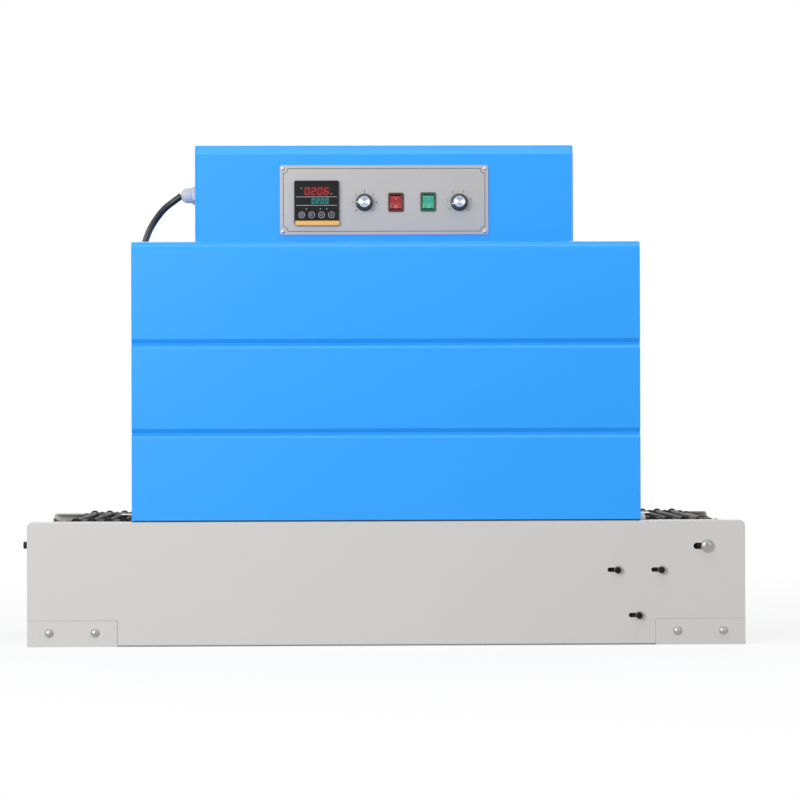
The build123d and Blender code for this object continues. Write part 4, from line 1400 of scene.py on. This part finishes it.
class TUNNEL_OT_controller(bpy.types.Operator):
    """Finishes the temperature controller and adds its window, figures, key icons and strip"""

    bl_idname = "tunnel.controller"
    bl_label = "Controller"

    def execute(self, context):
        settings = context.scene.tunnel_panel
        case = moulded("controller case", (0.007, 0.007, 0.008), 0.4, shine=0.25)
        dress(case, "controller", "controller_keys", ease=0.25 * mm)
        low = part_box("controller")[0]
        key_face, key_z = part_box("controller_keys")[0][1], middle("controller_keys")[2]
        face, x, z = low[1], middle("controller")[0], middle("controller")[2]
        window = moulded("controller window", (0.005, 0.005, 0.006), 0.16, 300, 0.002, shine=0.25)
        pane_width, pane_depth, pane_at = 66.6 * mm, 0.9 * mm, face + 1.15 * mm
        pane = slab(rounded(pane_width, pane_width, 1 * mm, 3), pane_depth, 0.1 * mm)
        build("controller_pane", pane.placed((x, pane_at, z), *FRONT), window)
        glass, print_depth, film_depth = pane_at - pane_depth, 0.1 * mm, 0.06 * mm

        def on_face(shape, right, up):
            return shape.placed((x + right * mm, glass, z + up * mm), *FRONT)

        def film(width, height):
            return slab(rounded(width, height, 0.6 * mm, 2), film_depth)

        upper, lower = (0.3, 18.7), (5.6, 2.8)
        red = glowing("red figures", (0.3, 0.012, 0.014), 0.3)
        teal = glowing("teal figures", (0.012, 0.22, 0.19), 0.3)
        dark_red = moulded("upper window", (0.085, 0.004, 0.006), 0.2, shine=0.25)
        dark_teal = moulded("lower window", (0.003, 0.045, 0.04), 0.2, shine=0.25)
        upper_film, lower_film = film(42 * mm, 14.2 * mm), film(30 * mm, 10.4 * mm)
        build("upper_window", on_face(upper_film, *upper), dark_red)
        build("lower_window", on_face(lower_film, *lower), dark_teal)
        digits = display_digits("0206", 13 * mm, 10.3 * mm, print_depth)
        build("upper_figures", on_face(digits, *upper), red)
        digits = display_digits("0200", 8.6 * mm, 7.2 * mm, print_depth)
        build("lower_figures", on_face(digits, *lower), teal)
        pale = printed("pale ink", (0.42, 0.42, 0.42))
        stroke_width = 0.75 * mm
        lines = np.array([(-33, 9.6, 33, 9.6), (-33, -4.1, 33, -4.1)]) * mm
        marks = on_face(strokes(lines, stroke_width, print_depth), 0, 0)
        lamp = turned([(0.9 * mm, 0), (0.8 * mm, 0.15 * mm)], 16)
        for right, up in ((-16.3, -9.7), (6, -9.7), (16.4, -9.7), (-24.5, 23.5), (24, 14.2)):
            marks += on_face(lamp, right, up)
        circle = band(rounded(9.4 * mm, 9.4 * mm, 4.69 * mm, 9), 0.8 * mm, print_depth)
        for right, icon in ICONS.items():
            part = circle + strokes(np.array(icon) * mm, stroke_width, print_depth)
            marks += part.placed((x + right * mm, key_face, key_z), *FRONT)
        build("controller_marks", marks, pale, welded=True)
        gold = moulded("gold strip", settings.strip, 0.35, 900, 0.01)
        strip = slab(rounded(71 * mm, 7.4 * mm, 1.6 * mm, 3), 2.2 * mm, 0.4 * mm)
        spot = (x + 0.9 * mm, face + 1.9 * mm, low[2] + 3.4 * mm)
        build("controller_strip", strip.placed(spot, *FRONT), gold)
        return {"FINISHED"}


# Dials

# The pointer's path from the knob's middle, as millimetres outwards and along the knob's axis
POINTER = [(9.0, 16.3), (10.2, 16.3), (11.6, 15.8), (12.4, 14.8), (12.6, 13.6), (13.3, 3.6)]


def knob_shape(width, top, height):
    """A knob about z. Its foot is a plain flange, and above it the wall leans in and is
    fluted: radius(h, t) = wall(h) - depth(h) (1 - cos 20 t) / 2. The crown is eased."""
    level = np.array([0, 0.3, 2.2, 2.6, 3.0, 13.6, 14.8, 15.6, 16.0]) * mm * height / (16 * mm)
    wall = np.interp(level, [0, height], [width / 2, top / 2])
    wall[:3] = width / 2
    wall[0] -= 0.3 * mm
    wall[3:5] = [width / 2 - 0.4 * mm, width / 2 - 1.1 * mm]
    wall[-3:] -= np.array([0.1, 0.7, 1.9]) * mm
    depth = np.array([0, 0, 0, 0, 0.7, 0.9, 0.9, 0.5, 0.1]) * mm
    return skin(rings(wall, level, 160, depth, 20))


def spun_cap(width, height):
    """A spun disc about z: fine rings, each swinging by a seventieth of a millimetre, in a
    shallow dish with a turned-down rim."""
    count, swing, dish = 140, 0.014 * mm, 0.25 * mm
    radius = np.linspace(width / 2 - 0.4 * mm, 0.15 * mm, count)
    level = height - dish * (1 - (radius / radius[0]) ** 2)
    level = level + swing * np.cos(np.arange(count) * math.pi)
    rim_radius, rim_level = [width / 2, width / 2], [0, height - 0.3 * mm]
    reach = np.concatenate([rim_radius, radius])
    return skin(rings(reach, np.concatenate([rim_level, level]), 72))


class TUNNEL_OT_dials(bpy.types.Operator):
    """Makes the fluted knobs with their pointers and spun caps"""

    bl_idname = "tunnel.dials"
    bl_label = "Dials"

    def execute(self, context):
        gloss = moulded("knob plastic", (0.008, 0.008, 0.009), 0.22, 900, 0.004, coat=0.3)
        spun = machined("spun aluminium", (0.6, 0.6, 0.61), 0.16, 300)
        white = printed("pointer paint", (0.8, 0.8, 0.8))
        height, top = 16 * mm, 24 * mm
        axle = turned([(3 * mm, -13 * mm), (3 * mm, 0.5 * mm)], 20)
        line = bent_sheet(np.array(POINTER) * mm, 0.4 * mm, 1.5 * mm, 0.1 * mm)
        for side, angle in (("left", 180), ("right", 196)):
            name, body = f"{side}_knob", f"{side}_dial"
            low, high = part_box(name)
            cap_low, cap_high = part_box(f"{name}_cap")
            x, _, z = middle(name)
            crown = cap_high[1]
            foot = crown + height
            knob = knob_shape(high[0] - low[0], top, height)
            shape = (knob + axle).placed((x, foot, z), *FRONT)
            build(f"{side}_dial_knob", shape, gloss, body, [name])
            cap = spun_cap(cap_high[0] - cap_low[0], 0.6 * mm).placed((x, crown, z), *FRONT)
            build(f"{side}_dial_cap", cap, spun, body, [f"{name}_cap"], 12)
            turn = math.radians(angle)
            shape = line.placed((x, foot, z), (math.cos(turn), 0, math.sin(turn)), (0, -1, 0))
            build(f"{side}_dial_pointer", shape, white, body)
        return {"FINISHED"}


# Switches


class TUNNEL_OT_switches(bpy.types.Operator):
    """Finishes the rocker switches and adds their ON and OFF signs"""

    bl_idname = "tunnel.switches"
    bl_label = "Switches"

    def execute(self, context):
        settings = context.scene.tunnel_panel
        paint = printed("switch sign paint", (0.45, 0.41, 0.4))
        tilt, sign_at, bezel, axis_depth = math.radians(8), 0.56 * 11.4 * mm, 2 * mm, 4 * mm
        lift = 5.6 * mm + sign_at * math.tan(tilt)
        sign_depth = 0.1 * mm
        stroke = strokes([(0, -1.8 * mm, 0, 1.8 * mm)], 0.8 * mm, sign_depth)
        circle = band(rounded(4.2 * mm, 4.2 * mm, 2.09 * mm, 7), 0.75 * mm, sign_depth)
        colours = {
            "red": (settings.red, (0.05, 0.003, 0.007), 0.05),
            "green": (settings.green, (0.003, 0.06, 0.03), 0.06),
        }
        for colour, (lens, rim, glow) in colours.items():
            frame_name = f"{colour}_switch_frame"
            dress(lamp_lens(f"{colour} lens", lens, glow), f"{colour}_rocker", ease=0.5 * mm)
            bezel_finish = moulded(f"{colour} bezel", rim, 0.22, 700, 0.004, coat=0.3)
            dress(bezel_finish, frame_name, ease=0.4 * mm)
            x, _, z = middle(frame_name)
            pivot = np.array([x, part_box(frame_name)[0][1] + bezel + axis_depth, z])
            signs = []
            for sign, half in ((stroke, 1), (circle, -1)):
                height = half * sign_at
                tipped = (
                    0,
                    -lift * math.cos(tilt) - height * math.sin(tilt),
                    -lift * math.sin(tilt) + height * math.cos(tilt),
                )
                slope = tilt + half * tilt
                along = (0, -math.sin(slope), math.cos(slope))
                signs.append(sign.placed(pivot + tipped, (1, 0, 0), along))
            name, body = f"{colour}_signs", f"{colour}_switch"
            build(name, joined(signs), paint, body, welded=True)
        return {"FINISHED"}


# Mains cord

# Places and sizes on the cord's way from the gland to its coil, in millimetres
CHAMBER_ROOF = 637.3
COIL_CENTRE = (-190, 207)
COIL_RADIUS = 55
CORD_ROUTE = [
    (-333.0, 20.0, 727.5),
    (-346.0, 21.0, 718.0),
    (-362.5, 29.5, 706.5),
    (-378.0, 47.5, 688.5),
    (-389.5, 82.0, 673.5),
    (-397.5, 124.0, 659.5),
    (-404.5, 165.5, 648.5),
    (-399.0, 206.0, 643.5),
    (-384.0, 230.0, 642.8),
    (-360.0, 246.0, 642.8),
    (-331.0, 257.5, 642.8),
    (-285.0, 263.5, 642.8),
    (-217.5, 267.2, 642.8),
]


def coil_points(width):
    """The coil's centreline in millimetres, clockwise from its rear at turn 0. On the chamber
    it steps from the outer lane to the inner one, climbs by one diameter beside the first
    turn, and steps back out on the upper layer. Lanes lie one diameter apart. The points are
    moved out by 1 / (3/4 + cos(step) / 4), because the curve runs inside them."""
    per_turn = 24
    turns = np.arange(1, 3 * per_turn) / per_turn
    outer, inner = COIL_RADIUS + width / 2, COIL_RADIUS - width / 2
    lower = CHAMBER_ROOF + width / 2
    radius = np.interp(turns, [0.86, 1.0, 2.555, 2.695], [outer, inner, inner, outer])
    level = np.interp(turns, [1.69, 1.86], [lower, lower + width])
    angle = math.pi / 2 - tau * turns
    reach = radius / (0.75 + 0.25 * math.cos(tau / per_turn))
    return polar(angle, reach, level) + (*COIL_CENTRE, 0)


def gland_shapes(across_flats):
    """The gland about z: its seal ring, and its hexagon with the ribbed cap nut that tapers
    to the cord, radius(h, t) = taper(h) - rib (1 - cos 14 t) / 2."""
    seal_height, sides = 1.8 * mm, 112
    seal_and_shade_strip = washer(15 * mm, 6 * mm, seal_height, 40, 0.4 * mm)
    body = hex_nut(across_flats, 8 * mm, 13 * mm).placed((0, 0, seal_height))
    level = np.array([9.8, 10.3, 19.5, 22.5, 25.5, 27.4, 28.0]) * mm
    taper = np.array([12.2, 12.7, 12.2, 11.2, 9.2, 7.6, 6.4]) * mm
    rib = np.array([0, 0.4, 0.45, 0.4, 0.2, 0, 0]) * mm
    outside = rings(taper, level, sides, rib, 14)
    bore = rings([5.1 * mm] * 2, [level[-1], level[0]], sides)
    return seal_and_shade_strip, body + skin(np.concatenate([outside, bore]), loop=True)


def plug_shape(width, thickness, length, sleeve):
    """A moulded plug about z from sleeve to face. The sleeve is stepped by rings, and the
    body's section is a superellipse |x/a|^4 + |y/b|^4 = 1 that swells from it."""
    angle = np.linspace(0, tau, 48, endpoint=False)
    cos, sin = np.cos(angle), np.sin(angle)
    points = []
    neck, flare, ring_height, ring_depth = 6.5 * mm, 2.3 * mm, 3.2 * mm, 0.8 * mm
    for level in np.linspace(0, sleeve, 29)[:-1]:
        step = ring_depth if int(level / ring_height) % 2 else 0.0
        radius = neck + flare * level / sleeve - step
        points.append(polar(angle, radius, level))
    square = (abs(cos) ** 4 + abs(sin) ** 4) ** -0.25
    for share, swell, round_off in (
        (0.0, 0.36, 0.0), (0.04, 0.62, 0.4), (0.12, 0.84, 0.8), (0.3, 0.9, 1.0), (0.5, 0.86, 1.0),
        (0.72, 0.94, 1.0), (0.86, 1.0, 1.0), (0.97, 1.0, 1.0), (1.0, 0.96, 1.0),
    ):
        reach = 1 + (square - 1) * round_off
        level = np.full(48, sleeve + share * length)
        x = swell * width / 2 * reach * cos
        y = (swell * 0.5 + 0.5 * min(1, swell * 1.1)) * thickness / 2 * reach * sin
        points.append(np.stack([x, y, level], axis=-1))
    return skin(np.array(points))


class TUNNEL_OT_cord(bpy.types.Operator):
    """Makes the gland, the mains cord with its coil, and the plug"""

    bl_idname = "tunnel.cord"
    bl_label = "Mains cord"

    def execute(self, context):
        settings = context.scene.tunnel_cord
        jacket = moulded("cord jacket", settings.jacket, 0.3, 700, 0.006)
        nylon = moulded("gland nylon", settings.nylon, 0.38, 900, 0.01)
        rubber = moulded("seal rubber", (0.012, 0.012, 0.013), 0.5)
        gland = middle("cable_gland")
        spot = (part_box("control_box")[0][0], gland[1], gland[2])
        seal_and_shade_strip, body = (shape.placed(spot, *LEFT) for shape in gland_shapes(26 * mm))
        build("gland_seal", seal_and_shade_strip, rubber)
        build("gland_body", body, nylon, replaces=["cable_gland"])

        plug_x, plug_y, plug_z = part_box("cord_plug")[0][0], *middle("cord_plug")[1:]
        top = CHAMBER_ROOF + 1.5 * settings.width / mm
        lead = [
            (-189.0, 267.8, top),
            (-178.0, 267.2, top - 0.2),
            (-163.0, 262.4, top - 1.4),
            (-152.0, 257.6, top - 3.4),
            (plug_x / mm - 1, plug_y / mm, plug_z / mm),
            (plug_x / mm + 8, plug_y / mm, plug_z / mm),
        ]
        points = np.concatenate([CORD_ROUTE, coil_points(settings.width / mm), lead]) * mm
        curve = bpy.data.curves.new("mains_cord", "CURVE")
        curve.dimensions = "3D"
        spline = curve.splines.new("NURBS")
        spline.points.add(len(points) - 1)
        spline.points.foreach_set("co", np.column_stack([points, np.ones(len(points))]).ravel())
        spline.order_u = 3
        spline.use_endpoint_u = True
        curve.resolution_u = 6
        curve.bevel_depth = settings.width / 2
        curve.bevel_resolution = 5
        curve.use_fill_caps = True
        curve.materials.append(jacket)
        cord = bpy.data.objects.new("mains_cord", curve)
        context.scene.collection.objects.link(cord)
        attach(cord, "machine")
        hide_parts("power_cord", "cord_coil")

        start = np.array([plug_x, plug_y, plug_z])
        sleeve, length, pin_offset = 28 * mm, 50 * mm, 7 * mm
        plug = plug_shape(36 * mm, 24 * mm, length, sleeve).placed(start, *RIGHT)
        body = build("plug_body", plug, jacket, replaces=["cord_plug"])
        brass = machined("pin plating", (0.7, 0.68, 0.62), 0.2)
        thin, wide, corner, reach = 2 * mm, 6.5 * mm, 0.9 * mm, 18.4 * mm
        blade = slab(rounded(thin, wide, corner, 3), reach, 0.4 * mm)
        flat = slab(rounded(wide, thin, corner, 3), reach, 0.4 * mm)
        front = start + (sleeve + length - 0.5 * mm, 0, 0)
        pins = blade.placed([front + (0, y, 0) for y in (-pin_offset, pin_offset)], *RIGHT)
        pins += flat.placed(front + (0, 0, pin_offset), *RIGHT)
        pins = build("plug_pins", pins, brass)
        return {"FINISHED"}


# Stage


def look_angles(forward, roll=0.0):
    """The rotation of a lamp or camera that looks along forward, rolled about that line. Its
    own axes point right, up and backwards."""
    forward = unit(np.array(forward, float))
    right = unit(np.cross(forward, (0, 0, 1)))
    up = np.cross(right, forward)
    cos, sin = math.cos(roll), math.sin(roll)
    axes = [list(cos * right + sin * up), list(cos * up - sin * right), list(-forward)]
    return Matrix(axes).to_3x3().transposed().to_euler()


def soft_light(name, place, target, size, power):
    """A rectangular lamp at a place, aimed at its target."""
    data = bpy.data.lights.new(name, "AREA")
    data.shape = "RECTANGLE"
    data.size, data.size_y = size
    data.energy = power
    light = bpy.data.objects.new(name, data)
    light.location = place
    light.rotation_euler = look_angles(np.array(target) - np.array(place))
    bpy.context.scene.collection.objects.link(light)


def studio_world(strength):
    """White for what a camera, a reflection or glass sees, and an even light of that strength."""
    sky = Finish("studio", bpy.data.worlds)
    camera, glossy, clear = sky.rays()
    seen = sky.math("MAXIMUM", camera, sky.math("MAXIMUM", glossy, clear))
    lamp, wall = (
        sky.add("ShaderNodeBackground", None, {"Color": WHITE, "Strength": level})
        for level in (strength, 1.0)
    )
    mixed = sky.add("ShaderNodeMixShader", None, {0: seen, 1: lamp, 2: wall})
    return sky.shown(mixed, "ShaderNodeOutputWorld")


def floor_finish(glow_share):
    """Paper that goes over to plain white between two distances from the machine's middle. To
    reflections and through glass it is white."""
    near, edge = 0.8, 2.6
    paper = Finish("studio floor")
    x, y = paper.axes(paper.place())
    far = paper.math("SQRT", x * x + y * y)
    glow = paper.span(far, near, edge, glow_share, 1.0)
    camera, glossy, clear = paper.rays()
    bounce = paper.add("ShaderNodeBsdfDiffuse", None, {"Color": (0.4, 0.4, 0.4, 1)})
    sheet = paper.add("ShaderNodeBsdfDiffuse", None, {"Color": (0.9, 0.9, 0.9, 1)})
    base = paper.add("ShaderNodeMixShader", None, {0: camera, 1: bounce, 2: sheet})
    shine = paper.add("ShaderNodeEmission", None, {"Color": WHITE, "Strength": 1.0})
    share = camera * glow + glossy + clear
    return paper.shown(paper.add("ShaderNodeMixShader", None, {0: share, 1: base, 2: shine}))


class TUNNEL_OT_stage(bpy.types.Operator):
    """Sets the floor, the soft studio light and the camera"""

    bl_idname = "tunnel.stage"
    bl_label = "Stage"

    def execute(self, context):
        settings = context.scene.tunnel_stage
        scene = context.scene
        scene.world = studio_world(settings.sky)
        mesh = bpy.data.meshes.new("studio_floor")
        reach = 40.0
        corners = [(-reach, -reach, 0), (reach, -reach, 0), (reach, reach, 0), (-reach, reach, 0)]
        mesh.from_pydata(corners, [], [(0, 1, 2, 3)])
        mesh.materials.append(floor_finish(settings.floor_glow))
        floor = bpy.data.objects.new("studio_floor", mesh)
        scene.collection.objects.link(floor)

        power = settings.key_power
        soft_light("key", (-2.6, -4.2, 1.5), (0, 0, 0.4), (2.6, 2.0), power)
        soft_light("fill", (3.2, -3.4, 1.6), (0, 0, 0.3), (2.4, 2.4), power * 0.12)
        soft_light("top", (0, -1.1, 3.6), (0, -0.2, 0.6), (3.4, 1.0), power * 0.2)
        soft_light("rim", (0.5, 4.0, 2.4), (0, 0, 0.3), (3.0, 2.0), power * 0.4)

        data = bpy.data.cameras.new("camera")
        data.lens = settings.lens
        data.sensor_width = 36.0
        data.clip_start, data.clip_end = 0.1, 100.0
        camera = bpy.data.objects.new("camera", data)
        yaw, pitch, roll = np.radians([1.2161, 0.3308, -0.1819])
        forward = np.array(
            [math.sin(yaw) * math.cos(pitch), math.cos(yaw) * math.cos(pitch), math.sin(pitch)]
        )
        camera.location = (-0.09688, -5.86042, 0.35411)
        camera.rotation_euler = look_angles(forward, roll)
        scene.collection.objects.link(camera)
        scene.camera = camera
        scene.view_settings.view_transform = "Standard"
        return {"FINISHED"}


class TUNNEL_PT_panel(bpy.types.Panel):
    """Lists the operators in the order in which they are run"""

    bl_idname = "TUNNEL_PT_panel"
    bl_label = "Shrink Tunnel"
    bl_space_type = "VIEW_3D"
    bl_region_type = "UI"
    bl_category = "Shrink Tunnel"

    def draw(self, context):
        for operator in OPERATORS:
            self.layout.operator(operator.bl_idname)


SETTINGS = {
    "tunnel_base": BaseSettings,
    "tunnel_conveyor": ConveyorSettings,
    "tunnel_chamber": ChamberSettings,
    "tunnel_panel": PanelSettings,
    "tunnel_cord": CordSettings,
    "tunnel_stage": StageSettings,
}
OPERATORS = [
    TUNNEL_OT_stage,
    TUNNEL_OT_cord,
    TUNNEL_OT_base,
    TUNNEL_OT_conveyor,
    TUNNEL_OT_drive,
    TUNNEL_OT_chamber,
    TUNNEL_OT_curtains,
    TUNNEL_OT_control_box,
    TUNNEL_OT_faceplate,
    TUNNEL_OT_controller,
    TUNNEL_OT_dials,
    TUNNEL_OT_switches,
]


def register():
    for name, group in SETTINGS.items():
        bpy.utils.register_class(group)
        setattr(bpy.types.Scene, name, PointerProperty(type=group))
    for operator in OPERATORS:
        bpy.utils.register_class(operator)
    bpy.utils.register_class(TUNNEL_PT_panel)


def unregister():
    bpy.utils.unregister_class(TUNNEL_PT_panel)
    for operator in reversed(OPERATORS):
        bpy.utils.unregister_class(operator)
    for name, group in SETTINGS.items():
        delattr(bpy.types.Scene, name)
        bpy.utils.unregister_class(group)


def main():
    register()
    for operator in OPERATORS:
        group, step = operator.bl_idname.split(".")
        getattr(getattr(bpy.ops, group), step)()


if __name__ == "__main__":
    main()
